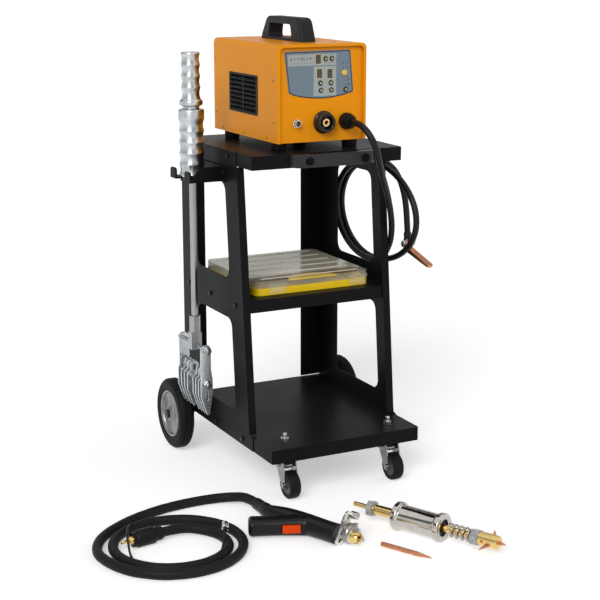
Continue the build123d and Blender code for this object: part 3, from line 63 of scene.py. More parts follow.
# The studio: a pale floor without an edge under a wide soft key and a white room.
# Nothing here belongs to the part. The camera stands where the photographer stood,
# to the left of the trolley's front and a little above the case.
scene = bpy.context.scene
scene.view_settings.view_transform = "Standard"


def keep(name, data):
    thing = bpy.data.objects.new(name, data)
    scene.collection.objects.link(thing)
    return thing


def emptied(data):
    data.use_nodes = True
    data.node_tree.nodes.clear()
    return data.node_tree


def add(tree, kind, inputs=None, **settings):
    node = tree.nodes.new(kind)
    for label, value in settings.items():
        setattr(node, label, value)
    for label, value in (inputs or {}).items():
        socket = node.inputs[label]
        if isinstance(value, bpy.types.NodeSocket):
            tree.links.new(value, socket)
        else:
            socket.default_value = value
    return node


def worked(tree, operation, first, second):
    return add(tree, "ShaderNodeMath", {0: first, 1: second}, operation=operation).outputs[0]


def ranged(tree, value, low, high, to_low=0.0, to_high=1.0):
    ends = {"From Min": low, "From Max": high, "To Min": to_low, "To Max": to_high}
    return add(tree, "ShaderNodeMapRange", {"Value": value, **ends}).outputs["Result"]


MIX_FIRST = 6
MIX_SECOND = 7
MIX_RESULT = 2


def mixed(tree, share, first, second):
    inputs = {0: share, MIX_FIRST: first, MIX_SECOND: second}
    return add(tree, "ShaderNodeMix", inputs, data_type="RGBA").outputs[MIX_RESULT]


def seen_rays(tree):
    rays = add(tree, "ShaderNodeLightPath").outputs
    mirror = worked(tree, "MAXIMUM", rays["Is Glossy Ray"], rays["Is Transmission Ray"])
    return rays["Is Camera Ray"], mirror


ROOM_GLOW = 0.74
ROOM_WHITE = (1.0, 1.0, 1.0, 1.0)
CEILING = ((0.0, 1.0), (0.42, 0.92), (0.62, 0.45), (0.8, 0.16), (1.0, 0.3))
SOFT_BOX = ((0.0, 0.9), (0.3, 0.8), (0.42, 0.12), (0.56, 0.1), (0.66, 0.95), (1.0, 1.0))
room = bpy.data.worlds.new("white_room")
scene.world = room
room_tree = emptied(room)
room_camera, room_mirror = seen_rays(room_tree)
room_seen = worked(room_tree, "MAXIMUM", room_camera, room_mirror)
room_way = add(room_tree, "ShaderNodeTexCoord").outputs["Generated"]
room_height = add(room_tree, "ShaderNodeSeparateXYZ", {"Vector": room_way}).outputs["Z"]


def room_ramp(levels):
    ramp = add(room_tree, "ShaderNodeValToRGB", {"Fac": room_height})
    while len(ramp.color_ramp.elements) < len(levels):
        ramp.color_ramp.elements.new(0.5)
    for stop, (height, level) in zip(ramp.color_ramp.elements, levels):
        stop.position = height
        stop.color = (level, level, level, 1.0)
    return ramp.outputs["Color"]


room_shine = mixed(room_tree, room_mirror, room_ramp(CEILING), room_ramp(SOFT_BOX))
room_tint = mixed(room_tree, room_camera, room_shine, ROOM_WHITE)
room_level = ranged(room_tree, room_seen, 0.0, 1.0, ROOM_GLOW, 1.0)
room_light = add(room_tree, "ShaderNodeBackground", {"Color": room_tint, "Strength": room_level})
add(room_tree, "ShaderNodeOutputWorld", {"Surface": room_light.outputs["Background"]})

FLOOR_REACH = 60.0
FLOOR_LIFT = 0.42
FLOOR_WHITE = (0.93, 0.93, 0.93, 1.0)
FLOOR_BOUNCE = (0.5, 0.5, 0.5, 1.0)
floor_mesh = bpy.data.meshes.new("studio_floor")
floor_mesh.from_pydata(
    [(-FLOOR_REACH, -FLOOR_REACH, 0), (FLOOR_REACH, -FLOOR_REACH, 0),
     (FLOOR_REACH, FLOOR_REACH, 0), (-FLOOR_REACH, FLOOR_REACH, 0)], [], [(0, 1, 2, 3)])
floor = keep("studio_floor", floor_mesh)
floor_paint = bpy.data.materials.new("studio_floor_white")
floor_tree = emptied(floor_paint)
floor_seen = worked(floor_tree, "MAXIMUM", *seen_rays(floor_tree))
floor_tint = mixed(floor_tree, floor_seen, FLOOR_BOUNCE, FLOOR_WHITE)
floor_skin = add(floor_tree, "ShaderNodeBsdfDiffuse", {"Color": floor_tint})
floor_glow = worked(floor_tree, "MULTIPLY", floor_seen, FLOOR_LIFT)
floor_shine = add(floor_tree, "ShaderNodeEmission", {"Strength": floor_glow})
floor_sum = add(floor_tree, "ShaderNodeAddShader",
                {0: floor_skin.outputs["BSDF"], 1: floor_shine.outputs["Emission"]})
add(floor_tree, "ShaderNodeOutputMaterial", {"Surface": floor_sum.outputs["Shader"]})
floor_mesh.materials.append(floor_paint)

LAMPS = (
    ("key_light", (0.66, 0.72, -0.7), 1.6, 32.0),
    ("fill_light", (-0.8, 0.6, -0.5), 0.45, 70.0),
)
for lamp_name, lamp_way, lamp_power, lamp_spread in LAMPS:
    lamp = bpy.data.lights.new(lamp_name, "SUN")
    lamp.energy = lamp_power
    lamp.angle = math.radians(lamp_spread)
    keep(lamp_name, lamp).rotation_euler = Vector(lamp_way).to_track_quat("-Z", "Y").to_euler()

CAMERA_AT = (-1.6043, -2.9993, 1.30405)
CAMERA_DOWN = 13.53
CAMERA_TURN = 26.99
CAMERA_SENSOR = 36.0
CAMERA_LENS = 86.34
CAMERA_FAR = 200.0
eye = bpy.data.cameras.new("photo_camera")
eye.sensor_width = CAMERA_SENSOR
eye.lens = CAMERA_LENS
eye.clip_end = CAMERA_FAR
camera = keep("photo_camera", eye)
camera.location = CAMERA_AT
camera.rotation_euler = (math.radians(90.0 - CAMERA_DOWN), 0.0, -math.radians(CAMERA_TURN))
scene.camera = camera

# Trolley pans and side frames: 2 mm mild steel, laser cut, folded and powder coated satin black.
# The two frames are bolted to the folds of the deck, the shelf and the top tray.
# The coat has a fine orange peel and catches a little dust on the faces that look up.
MM = 0.001
MID_GREY = (0.5, 0.5, 0.5, 1.0)
DUST_GREY = (0.34, 0.33, 0.31, 1.0)
SWING_SPAN = (0.3, 0.7)
CLOUD_SCALE = 8.0
SPECK_SCALE = 160.0
SPECK_SPAN = (0.45, 0.75)
FACES_UP = (0.6, 1.0)
WELD = 3e-6
FLAT_ANGLE = 0.4


def colour(red, green, blue):
    parts = [c / 255 for c in (red, green, blue)]
    return tuple(((c + 0.055) / 1.055) ** 2.4 if c > 0.04 else c / 12.92 for c in parts) + (1.0,)


def effect(name, **inputs):
    group = bpy.data.node_groups.new(name, "ShaderNodeTree")
    for label, value in inputs.items():
        kind = "NodeSocketColor" if isinstance(value, tuple) else "NodeSocketFloat"
        group.interface.new_socket(label, in_out="INPUT", socket_type=kind).default_value = value
    for label, kind in (("Colour", "Color"), ("Roughness", "Float"), ("Height", "Float")):
        group.interface.new_socket(label, in_out="OUTPUT", socket_type="NodeSocket" + kind)
    return group, add(group, "NodeGroupInput").outputs


def swing(tree, value, middle, reach):
    low = worked(tree, "SUBTRACT", middle, reach)
    high = worked(tree, "ADD", middle, reach)
    return ranged(tree, value, *SWING_SPAN, low, high)


def clouds(tree, place, scale, detail, rough=0.5):
    inputs = {"Vector": place, "Scale": scale, "Detail": detail, "Roughness": rough}
    return add(tree, "ShaderNodeTexNoise", inputs).outputs["Fac"]


coat_group, coat_in = effect("coat_grain", Colour=MID_GREY, Grain=700.0, Mottle=0.06, Roughness=0.4,
                             Swing=0.06, Dust=0.0)
coat_place = add(coat_group, "ShaderNodeTexCoord").outputs
coat_peel = clouds(coat_group, coat_place["Object"], coat_in["Grain"], detail=2.0)
coat_cloud = clouds(coat_group, coat_place["Object"], CLOUD_SCALE, detail=4.0, rough=0.6)
coat_value = swing(coat_group, coat_cloud, 1.0, coat_in["Mottle"])
coat_tone = add(coat_group, "ShaderNodeHueSaturation", {"Value": coat_value, "Color": coat_in["Colour"]})
coat_up = add(coat_group, "ShaderNodeSeparateXYZ", {"Vector": coat_place["Normal"]}).outputs["Z"]
coat_flat = ranged(coat_group, coat_up, *FACES_UP)
coat_specks = clouds(coat_group, coat_place["Object"], SPECK_SCALE, detail=6.0, rough=0.7)
coat_mask = worked(coat_group, "MULTIPLY", coat_flat, ranged(coat_group, coat_specks, *SPECK_SPAN))
coat_dust = worked(coat_group, "MULTIPLY", coat_mask, coat_in["Dust"])
add(coat_group, "NodeGroupOutput", {
    "Colour": mixed(coat_group, coat_dust, coat_tone.outputs["Color"], DUST_GREY),
    "Roughness": swing(coat_group, coat_cloud, coat_in["Roughness"], coat_in["Swing"]),
    "Height": coat_peel})


def finish(name, group, values, depth, plain):
    material = bpy.data.materials.new(name)
    tree = emptied(material)
    look = add(tree, "ShaderNodeGroup", values, node_tree=group).outputs
    relief = add(tree, "ShaderNodeBump",
                 {"Height": look["Height"], "Distance": depth * MM, "Strength": 1.0})
    skin = add(tree, "ShaderNodeBsdfPrincipled",
               {"Base Color": look["Colour"], "Roughness": look["Roughness"],
                "Normal": relief.outputs["Normal"]})
    for label, value in plain.items():
        skin.inputs[label.replace("_", " ")].default_value = value
    add(tree, "ShaderNodeOutputMaterial", {"Surface": skin.outputs["BSDF"]})
    return material


def coated(name, tint, rough, grain=700.0, depth=0.02, mottle=0.06, reach=0.05, dust=0.0, **plain):
    values = {"Colour": tint, "Grain": grain, "Mottle": mottle, "Roughness": rough, "Swing": reach,
              "Dust": dust}
    return finish(name, coat_group, values, depth, plain)


def smoothed(mesh, angle):
    mesh.shade_smooth()
    mesh.set_sharp_from_angle(angle=math.radians(angle))


def fitted(piece, body):
    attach(piece, body)
    return piece


def stands_for(piece, node):
    fitted(piece, frame["nodes"][node]["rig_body"])
    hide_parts(node)
    return piece


def solid_copy(name, node):
    source = frame["nodes"][node].data
    mesh = bpy.data.meshes.new(name)
    mesh.from_pydata([v.co for v in source.vertices], [], [list(p.vertices) for p in source.polygons])
    form = bmesh.new()
    form.from_mesh(mesh)
    bmesh.ops.remove_doubles(form, verts=form.verts, dist=WELD)
    bmesh.ops.dissolve_limit(form, angle_limit=math.radians(FLAT_ANGLE), verts=form.verts,
                             edges=form.edges)
    form.to_mesh(mesh)
    form.free()
    return mesh


def dressed(node, ending, material, width=0.7, angle=34.0, steps=2, also=(), where=None):
    mesh = solid_copy(node + ending, node)
    for skin in (material,) + also:
        mesh.materials.append(skin)
    if also:
        for face in mesh.polygons:
            face.material_index = int(where(face.center / MM, face.normal))
    smoothed(mesh, angle)
    piece = keep(node + ending, mesh)
    rounding = piece.modifiers.new("broken_edges", "BEVEL")
    rounding.width = width * MM
    rounding.segments = steps
    rounding.limit_method = "ANGLE"
    rounding.angle_limit = math.radians(angle)
    rounding.harden_normals = True
    return stands_for(piece, node)


satin_black = coated("satin_black_powder_coat", colour(21, 21, 23), 0.38, grain=620.0, mottle=0.05,
                     reach=0.03, dust=0.01, Specular_IOR_Level=0.055)
for sheet_node in ("deck", "side_frame_left", "side_frame_right", "shelf", "top_tray"):
    dressed(sheet_node, "_sheet", satin_black)

# Frame bolts: M6 hex bolts with nuts through the frames and the folds behind them,
# blackened so that they go with the paint; two round-headed screws hold the tray handle.
BLOOM_SPAN = (0.4, 0.7)
FINE_SCALE = 1400.0
skin_group, skin_in = effect("metal_skin", Colour=MID_GREY, Bloom=MID_GREY, Patch=60.0, Share=0.3,
                             Roughness=0.3, Swing=0.08)
skin_place = add(skin_group, "ShaderNodeTexCoord").outputs["Object"]
skin_patch = clouds(skin_group, skin_place, skin_in["Patch"], detail=5.0, rough=0.62)
skin_share = ranged(skin_group, skin_patch, *BLOOM_SPAN, 0.0, skin_in["Share"])
add(skin_group, "NodeGroupOutput", {
    "Colour": mixed(skin_group, skin_share, skin_in["Colour"], skin_in["Bloom"]),
    "Roughness": swing(skin_group, skin_patch, skin_in["Roughness"], skin_in["Swing"]),
    "Height": clouds(skin_group, skin_place, FINE_SCALE, detail=2.0)})


def metal(name, tint, bloom, rough, patch=60.0, share=0.4, reach=0.07, depth=0.004):
    values = {"Colour": tint, "Bloom": bloom, "Patch": patch, "Share": share, "Roughness": rough,
              "Swing": reach}
    return finish(name, skin_group, values, depth, {"Metallic": 1.0})


black_oxide = metal("black_oxide_steel", colour(58, 57, 58), colour(38, 37, 40), 0.42)
dressed("frame_bolts", "_set", black_oxide, width=0.4)

# Rear wheels: a pressed and zinc-plated steel rim with a hub tube, and a solid ribbed rubber tyre.
# They run on one steel axle with spacers beside the frames and a domed cap at each end.
ON_AXIS = 1e-6
EASE_LEAST = 0.05
EASE_SHARE = 0.42
EASE_STEPS = (0.0, 0.33, 0.67, 1.0)


def eased(profile, radius):
    points = [Vector((r, h)) for r, h in profile]
    line = []
    for i, here in enumerate(points):
        before = points[i - 1]
        after = points[(i + 1) % len(points)]
        end = i in (0, len(points) - 1) and min(points[0].x, points[-1].x) < ON_AXIS
        reach = min(radius, EASE_SHARE * (here - before).length, EASE_SHARE * (after - here).length)
        if end or here.x < ON_AXIS or reach < EASE_LEAST:
            line.append(here)
            continue
        a = here + (before - here).normalized() * reach
        b = here + (after - here).normalized() * reach
        for t in EASE_STEPS:
            line.append(a * (1 - t) ** 2 + here * 2 * t * (1 - t) + b * t ** 2)
    return [(p.x, p.y) for p in line]


def ring_ways(across, other, sides):
    angles = [2 * math.pi * i / sides for i in range(sides)]
    return [across * math.cos(a) + other * math.sin(a) for a in angles]


def formed(name, form, materials, angle=None):
    bmesh.ops.recalc_face_normals(form, faces=form.faces)
    mesh = bpy.data.meshes.new(name)
    form.to_mesh(mesh)
    form.free()
    for material in materials:
        mesh.materials.append(material)
    if angle:
        smoothed(mesh, angle)
    return keep(name, mesh)


def turned(name, profile, centre, along, materials, ease=0.6, sides=72, band=None, angle=38.0):
    axis = Vector(along).normalized()
    across = axis.orthogonal().normalized()
    ways = ring_ways(across, axis.cross(across), sides)
    line = eased(profile, ease)
    form = bmesh.new()
    map_layer = form.loops.layers.uv.new("turn")
    rows = []
    for r, h in line:
        middle = Vector(centre) + axis * h * MM
        if r < ON_AXIS:
            rows.append([form.verts.new(middle)] * sides)
        else:
            rows.append([form.verts.new(middle + way * r * MM) for way in ways])
    pairs = list(zip(range(len(rows)), range(1, len(rows))))
    if min(line[0][0], line[-1][0]) > ON_AXIS:
        pairs.append((len(rows) - 1, 0))
    run = 0.0
    for lower, upper in pairs:
        step = math.dist(line[lower], line[upper]) * MM
        between = [(a + b) / 2 for a, b in zip(line[lower], line[upper])]
        for i in range(sides):
            k = (i + 1) % sides
            corners = [(rows[lower][i], i, run), (rows[lower][k], i + 1, run),
                       (rows[upper][k], i + 1, run + step), (rows[upper][i], i, run + step)]
            corners = [c for n, c in enumerate(corners) if c[0] not in [b[0] for b in corners[:n]]]
            if len(corners) < 3:
                continue
            face = form.faces.new([c[0] for c in corners])
            if band:
                face.material_index = band(*between)
            for loop, (_, turn, way) in zip(face.loops, corners):
                loop[map_layer].uv = (turn / sides, way)
        run += step
    return formed(name, form, materials, angle)


def middle_of(node):
    low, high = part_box(node)
    return (low + high) / 2


SMEAR_SCALE = 45.0
CUT_SPAN = (0.12, 0.38)
turn_group, turn_in = effect("turning_marks", Colour=MID_GREY, Dark=MID_GREY, Lines=1500.0,
                             Roughness=0.25, Swing=0.08)
turn_map = add(turn_group, "ShaderNodeUVMap", uv_map="turn").outputs["UV"]
turn_run = add(turn_group, "ShaderNodeSeparateXYZ", {"Vector": turn_map}).outputs["Y"]
turn_cut = add(turn_group, "ShaderNodeTexNoise",
               {"W": turn_run, "Scale": turn_in["Lines"], "Detail": 3.0},
               noise_dimensions="1D").outputs["Fac"]
turn_place = add(turn_group, "ShaderNodeTexCoord").outputs["Object"]
turn_smear = clouds(turn_group, turn_place, SMEAR_SCALE, detail=4.0)
turn_share = ranged(turn_group, worked(turn_group, "MULTIPLY", turn_cut, turn_smear), *CUT_SPAN)
add(turn_group, "NodeGroupOutput", {
    "Colour": mixed(turn_group, turn_share, turn_in["Dark"], turn_in["Colour"]),
    "Roughness": swing(turn_group, turn_cut, turn_in["Roughness"], turn_in["Swing"]),
    "Height": turn_cut})


def lathed(name, tint, dark, rough, lines=1500.0, reach=0.06, depth=0.006, **plain):
    values = {"Colour": tint, "Dark": dark, "Lines": lines, "Roughness": rough, "Swing": reach}
    return finish(name, turn_group, values, depth, {"Metallic": 1.0, **plain})


SIDES = (("left", -1.0), ("right", 1.0))
TYRE_R = 95.0
TYRE_HALF = 20.0
GROOVES = (-8.0, 0.0, 8.0)
GROOVE_DEPTH = 2.4
GROOVE_MOUTH = 1.7
GROOVE_FLOOR = 1.1
RIM_R = 62.0
RIM_BORE = 6.1
RIM_LINE = (
    (RIM_BORE, -21), (17, -21), (17, 0), (30, 2), (36, 6), (44, 8), (RIM_R - 6, 8), (RIM_R - 6, -18),
    (RIM_R + 1, -18), (RIM_R + 1, -16), (RIM_R - 2, -14), (RIM_R - 2, 14), (RIM_R + 1, 16),
    (RIM_R + 1, 18), (RIM_R - 3, 18), (RIM_R - 6, 15), (RIM_R - 7, 11), (46, 10), (38, 11), (24, 15),
    (17, 19), (15, 21), (RIM_BORE, 21))
rim_zinc = lathed("pressed_rim_zinc", colour(158, 157, 156), colour(112, 110, 109), 0.34, lines=700.0)
tyre_rubber = coated("tyre_rubber", colour(19, 19, 21), 0.58, grain=1500.0, depth=0.05, mottle=0.14,
                     dust=0.03, Specular_IOR_Level=0.12)
tread = []
for groove in GROOVES:
    tread += [(TYRE_R, groove - GROOVE_MOUTH), (TYRE_R - GROOVE_DEPTH, groove - GROOVE_FLOOR),
              (TYRE_R - GROOVE_DEPTH, groove + GROOVE_FLOOR), (TYRE_R, groove + GROOVE_MOUTH)]
side_wall = [
    (RIM_R - 1.8, 13), (RIM_R + 1.2, 15.4), (RIM_R + 3, 19), (RIM_R + 9, TYRE_HALF), (74, TYRE_HALF),
    (75, 19.4), (77, 19.4), (78, TYRE_HALF), (TYRE_R - 11, TYRE_HALF), (TYRE_R - 4, 16),
    (TYRE_R - 0.8, 11)]
tyre_line = [(r, -h) for r, h in side_wall] + tread + side_wall[::-1]
for side, out in SIDES:
    rim_node = "rear_rim_" + side
    tyre_node = "rear_tyre_" + side
    hub = middle_of(rim_node)
    rim = turned(rim_node + "_pressing", RIM_LINE, hub, (out, 0, 0), [rim_zinc], ease=1.6, sides=96)
    stands_for(rim, rim_node)
    tyre = turned(tyre_node + "_rubber", tyre_line, hub, (out, 0, 0), [tyre_rubber], ease=1.8, sides=112)
    stands_for(tyre, tyre_node)
axle_steel = metal("dark_axle_steel", colour(66, 64, 64), colour(40, 40, 42), 0.4)
dressed("axle", "_bar", axle_steel, width=0.8)

# Front casters: zinc-plated pressed forks that swivel under a threaded stem, bolted through the deck.
# Each wheel is a grey plastic core with a moulded black rubber tread, on a riveted pin.
bright_zinc = metal("bright_zinc", colour(196, 200, 203), colour(158, 170, 186), 0.27, patch=48.0,
                    share=0.55)
fork_zinc = metal("caster_fork_zinc", colour(150, 152, 154), colour(112, 116, 124), 0.24, patch=40.0,
                  share=0.6)
caster_tread = coated("caster_rubber", colour(22, 22, 24), 0.55, grain=1300.0, depth=0.04, mottle=0.12,
                      Specular_IOR_Level=0.12)
caster_core = coated("caster_core_grey", colour(66, 67, 70), 0.45, grain=900.0)
CASTER_MIDDLE = 35.0
CASTER_REACH = 146.0
CASTER_BACK = 15.0
CORE_R = 23.5
CASTER_LINE = (
    (4.1, -16), (10, -16), (10.6, -11), (22, -11), (24, -13), (26, -14), (31, -14), (34, -11.5),
    (35, -8), (35, 8), (34, 11.5), (31, 14), (26, 14), (24, 13), (22, 11), (10.6, 11), (10, 16),
    (4.1, 16))
CUP_LINE = (
    (11.3, 73.0), (19.0, 73.0), (23.5, 75.5), (25.0, 79.5), (25.0, 84.0), (21.0, 87.0), (15.5, 89.0),
    (15.5, 100.5), (11.3, 100.5))
for side, out in SIDES:
    fork_node = "caster_fork_" + side
    wheel_node = "caster_wheel_" + side
    dressed(fork_node, "_pressing", fork_zinc)
    cup_spot = Vector((CASTER_MIDDLE + out * CASTER_REACH, CASTER_BACK, 0.0)) * MM
    cup = turned("caster_cup_" + side, CUP_LINE, cup_spot, (0, 0, 1), [fork_zinc], ease=1.2, sides=48)
    fitted(cup, frame["nodes"][fork_node]["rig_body"])
    wheel = turned(wheel_node + "_moulding", CASTER_LINE, middle_of(wheel_node), (1, 0, 0),
                   [caster_tread, caster_core], ease=1.2, band=lambda r, h: int(r < CORE_R))
    stands_for(wheel, wheel_node)
dressed("caster_stems", "_bolts", bright_zinc, width=0.4)

# Tray handle: a moulded dark grey bow with well rounded edges, screwed through the tray's front apron.
# A round cap covers each screw; its near-black colour is painted shade, standing for the dark screw
# recess.
BOW_CAP_X = (-28.0, 124.0)
BOW_CAP_LINE = ((0.0, -2.0), (10.2, -2.0), (10.2, 0.6), (9.4, 1.3), (5.0, 1.7), (0.0, 1.9))
bow_plastic = coated("bow_grey_plastic", colour(37, 37, 40), 0.36, grain=1100.0, depth=0.03, mottle=0.08,
                     Specular_IOR_Level=0.3)
# Near-black for the screw caps: painted shade of the screw recesses.
cap_shade_black = coated("cap_painted_shade_black", colour(8, 8, 9), 0.5, grain=1100.0, Specular_IOR_Level=0.08)


def evaluated(thing):
    now = bpy.context.evaluated_depsgraph_get()
    return bpy.data.meshes.new_from_object(thing.evaluated_get(now))


def settled(piece):
    made = evaluated(piece)
    piece.modifiers.clear()
    piece.data = made
    return made


def softened(node, ending, material, voxel, rounds):
    mesh = solid_copy(node + ending, node)
    mesh.materials.append(material)
    piece = keep(node + ending, mesh)
    one_skin = piece.modifiers.new("one_skin", "REMESH")
    one_skin.mode = "VOXEL"
    one_skin.voxel_size = voxel * MM
    soft_edges = piece.modifiers.new("soft_edges", "SMOOTH")
    soft_edges.factor = 0.5
    soft_edges.iterations = rounds
    settled(piece).shade_smooth()
    return stands_for(piece, node)


softened("tray_handle", "_bow", bow_plastic, voxel=1.2, rounds=40)
bow_low, bow_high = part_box("tray_handle")
for side, cap_x in zip(("left", "right"), BOW_CAP_X):
    cap_spot = (cap_x * MM, bow_low.y, (bow_low.z + bow_high.z) / 2)
    bow_cap = turned("bow_cap_" + side, BOW_CAP_LINE, cap_spot, (0, -1, 0), [cap_shade_black], ease=0.4,
                     sides=40)
    fitted(bow_cap, "trolley")

# Puller fork and cable hook: bent steel plate and bar, coated with the frames and bolted to their
# sides. The puller's weight stands on the fork, and the ground cable hangs over the hook.
dressed("puller_fork", "_plate", satin_black, width=0.9)
dressed("cable_hook", "_bar", satin_black, width=0.6)

# Power source, chassis and insides: front panel, base and rear panel are one folded steel sheet,
# coated in the case colour. The transformer stands on the base, and the fan and the mains rocker
# sit in the rear panel.
case_orange = coated("orange_powder_coat", colour(243, 153, 4), 0.38, grain=560.0, depth=0.018,
                     mottle=0.03, Specular_IOR_Level=0.16)
core_steel = metal("lacquered_core_steel", colour(92, 90, 86), colour(60, 56, 52), 0.5)
fan_plastic = coated("fan_plastic", colour(30, 30, 32), 0.5, grain=900.0)
rocker_plastic = coated("rocker_plastic", colour(24, 24, 26), 0.3, grain=900.0, depth=0.01)
dressed("chassis", "_panels", case_orange, width=0.5)
dressed("transformer", "_stack", core_steel, width=0.8)
dressed("fan_rotor", "_blades", fan_plastic, width=0.4)
dressed("power_switch", "_rocker", rocker_plastic, width=0.6)

# Case cover: one bent steel sheet over the chassis, powder coated orange and held along its edges
# by small screws with a cross slot. The front edge stands ahead of the panel as a lip.
CASE_X = 35.0
CASE_HALF = 121.0
CASE_TOP = 1093.5
SIDE_SCREWS = ((461, 1040), (461, 903), (122, 1009), (122, 907), (417, 867), (289, 867), (160, 867))
TOP_SCREWS = ((-62, 158), (62, 158), (-62, 459), (62, 459))
HEAD_SIDES = 24
HEAD_TAPER = 0.62
SLOT_SHARE = 1.1
SCREW_ANGLE = 35.0
dressed("case_cover", "_shell", case_orange, width=0.5)
screw_steel = metal("screw_steel", colour(70, 66, 62), colour(46, 44, 44), 0.38)
screw_sizes = {"Head Radius": 4.2 * MM, "Head Height": 1.2 * MM, "Slot Width": 0.9 * MM,
               "Finish": screw_steel}

screw_tree = bpy.data.node_groups.new("cross_screws", "GeometryNodeTree")
screw_tree.interface.new_socket("Geometry", in_out="INPUT", socket_type="NodeSocketGeometry")
for size_name in ("Head Radius", "Head Height", "Slot Width"):
    screw_tree.interface.new_socket(size_name, in_out="INPUT", socket_type="NodeSocketFloat")
screw_tree.interface.new_socket("Finish", in_out="INPUT", socket_type="NodeSocketMaterial")
screw_tree.interface.new_socket("Geometry", in_out="OUTPUT", socket_type="NodeSocketGeometry")
screw_in = add(screw_tree, "NodeGroupInput").outputs
screw_top = worked(screw_tree, "MULTIPLY", screw_in["Head Radius"], HEAD_TAPER)
screw_head = add(screw_tree, "GeometryNodeMeshCone",
                 {"Vertices": HEAD_SIDES, "Radius Top": screw_top,
                  "Radius Bottom": screw_in["Head Radius"], "Depth": screw_in["Head Height"]})
screw_long = worked(screw_tree, "MULTIPLY", screw_in["Head Radius"], SLOT_SHARE)
screw_bar = add(screw_tree, "ShaderNodeCombineXYZ",
                {"X": screw_long, "Y": screw_in["Slot Width"], "Z": screw_in["Head Height"]})
screw_cut = add(screw_tree, "GeometryNodeMeshCube", {"Size": screw_bar.outputs[0]})
screw_lift = add(screw_tree, "ShaderNodeCombineXYZ", {"Z": screw_in["Head Height"]})
screw_slot = add(screw_tree, "GeometryNodeTransform",
                 {"Geometry": screw_cut.outputs["Mesh"], "Translation": screw_lift.outputs[0]})
screw_cross = add(screw_tree, "GeometryNodeTransform",
                  {"Geometry": screw_slot.outputs[0], "Rotation": (0.0, 0.0, math.pi / 2)})
screw_tools = add(screw_tree, "GeometryNodeJoinGeometry")
screw_tree.links.new(screw_slot.outputs[0], screw_tools.inputs[0])
screw_tree.links.new(screw_cross.outputs[0], screw_tools.inputs[0])
screw_form = add(screw_tree, "GeometryNodeMeshBoolean",
                 {"Mesh 1": screw_head.outputs["Mesh"], "Mesh 2": screw_tools.outputs[0]},
                 operation="DIFFERENCE")
screw_way = add(screw_tree, "GeometryNodeInputNamedAttribute", {"Name": "facing"},
                data_type="FLOAT_VECTOR")
screw_turn = add(screw_tree, "FunctionNodeAlignRotationToVector", {"Vector": screw_way.outputs[0]},
                 axis="Z")
screw_set = add(screw_tree, "GeometryNodeInstanceOnPoints",
                {"Points": screw_in["Geometry"], "Instance": screw_form.outputs["Mesh"],
                 "Rotation": screw_turn.outputs[0]})
screw_real = add(screw_tree, "GeometryNodeRealizeInstances", {"Geometry": screw_set.outputs["Instances"]})
screw_done = add(screw_tree, "GeometryNodeSetMaterial",
                 {"Geometry": screw_real.outputs["Geometry"], "Material": screw_in["Finish"]})
add(screw_tree, "NodeGroupOutput", {"Geometry": screw_done.outputs["Geometry"]})

screw_seats = []
screw_facings = []
for out in (-1.0, 1.0):
    for y, z in SIDE_SCREWS:
        screw_seats.append(Vector((CASE_X + out * CASE_HALF, y, z)) * MM)
        screw_facings.append((out, 0.0, 0.0))
for x, y in TOP_SCREWS:
    screw_seats.append(Vector((CASE_X + x, y, CASE_TOP)) * MM)
    screw_facings.append((0.0, 0.0, 1.0))
seat_mesh = bpy.data.meshes.new("case_screws_seats")
seat_mesh.from_pydata(screw_seats, [], [])
seat_ways = seat_mesh.attributes.new("facing", "FLOAT_VECTOR", "POINT")
for item, way in zip(seat_ways.data, screw_facings):
    item.vector = way
case_screws = keep("case_screws", seat_mesh)
screw_maker = case_screws.modifiers.new(screw_tree.name, "NODES")
screw_maker.node_group = screw_tree
for item in screw_tree.interface.items_tree:
    if item.in_out == "INPUT" and item.name in screw_sizes:
        screw_maker[item.identifier] = screw_sizes[item.name]
smoothed(settled(case_screws), SCREW_ANGLE)
fitted(case_screws, "trolley")

# Side vents, carry handle and feet: black mouldings. The vents clip into the cover's cut-outs,
# the handle is screwed down from inside its front end, and the rubber feet stand on the tray.
vent_plastic = coated("vent_plastic", colour(13, 13, 15), 0.46, grain=1100.0, Specular_IOR_Level=0.12)
dressed("vent_grilles", "_louvres", vent_plastic, width=0.4)
grip_plastic = coated("grained_handle_plastic", colour(30, 30, 33), 0.47, grain=1500.0, depth=0.05,
                      mottle=0.07, Specular_IOR_Level=0.18)
dressed("carry_handle", "_moulding", grip_plastic, width=1.8, steps=3)
foot_rubber = coated("foot_rubber", colour(16, 16, 17), 0.62, grain=1200.0, depth=0.04,
                     Specular_IOR_Level=0.2)
dressed("feet", "_rubber", foot_rubber, width=0.8)

# Control label: a printed polyester film stuck to the panel, with thin dark and pale fields, three
# numeral windows, seven round keys and a yellow lamp. Marks are plain pictograms only.
LABEL_FACE = 106.0
film_print = coated("label_film_blue_grey", colour(118, 134, 146), 0.36, grain=1800.0, depth=0.006,
                    mottle=0.02, Specular_IOR_Level=0.25)
dressed("control_label", "_film", film_print, width=0.25)


def prism(form, corners, rise):
    near = [form.verts.new(corner) for corner in corners]
    far = [form.verts.new(corner + rise) for corner in corners]
    form.faces.new(near)
    form.faces.new(far[::-1])
    for i in range(len(near)):
        k = (i + 1) % len(near)
        form.faces.new((near[i], far[i], far[k], near[k]))


def printed(name, outlines, material, lift=0.12, back=0.0):
    form = bmesh.new()
    for outline in outlines:
        corners = [Vector((CASE_X + x, LABEL_FACE - back - lift, z)) * MM for x, z in outline]
        prism(form, corners, Vector((0.0, lift * MM, 0.0)))
    return fitted(formed(name, form, [material]), "trolley")


def bar(x0, z0, x1, z1):
    return [(x0, z0), (x1, z0), (x1, z1), (x0, z1)]


def block(x, z, half_wide, half_high):
    return bar(x - half_wide, z - half_high, x + half_wide, z + half_high)


def disc(x, z, r, sides=16):
    angles = [2 * math.pi * i / sides for i in range(sides)]
    return [(x + r * math.cos(a), z + r * math.sin(a)) for a in angles]


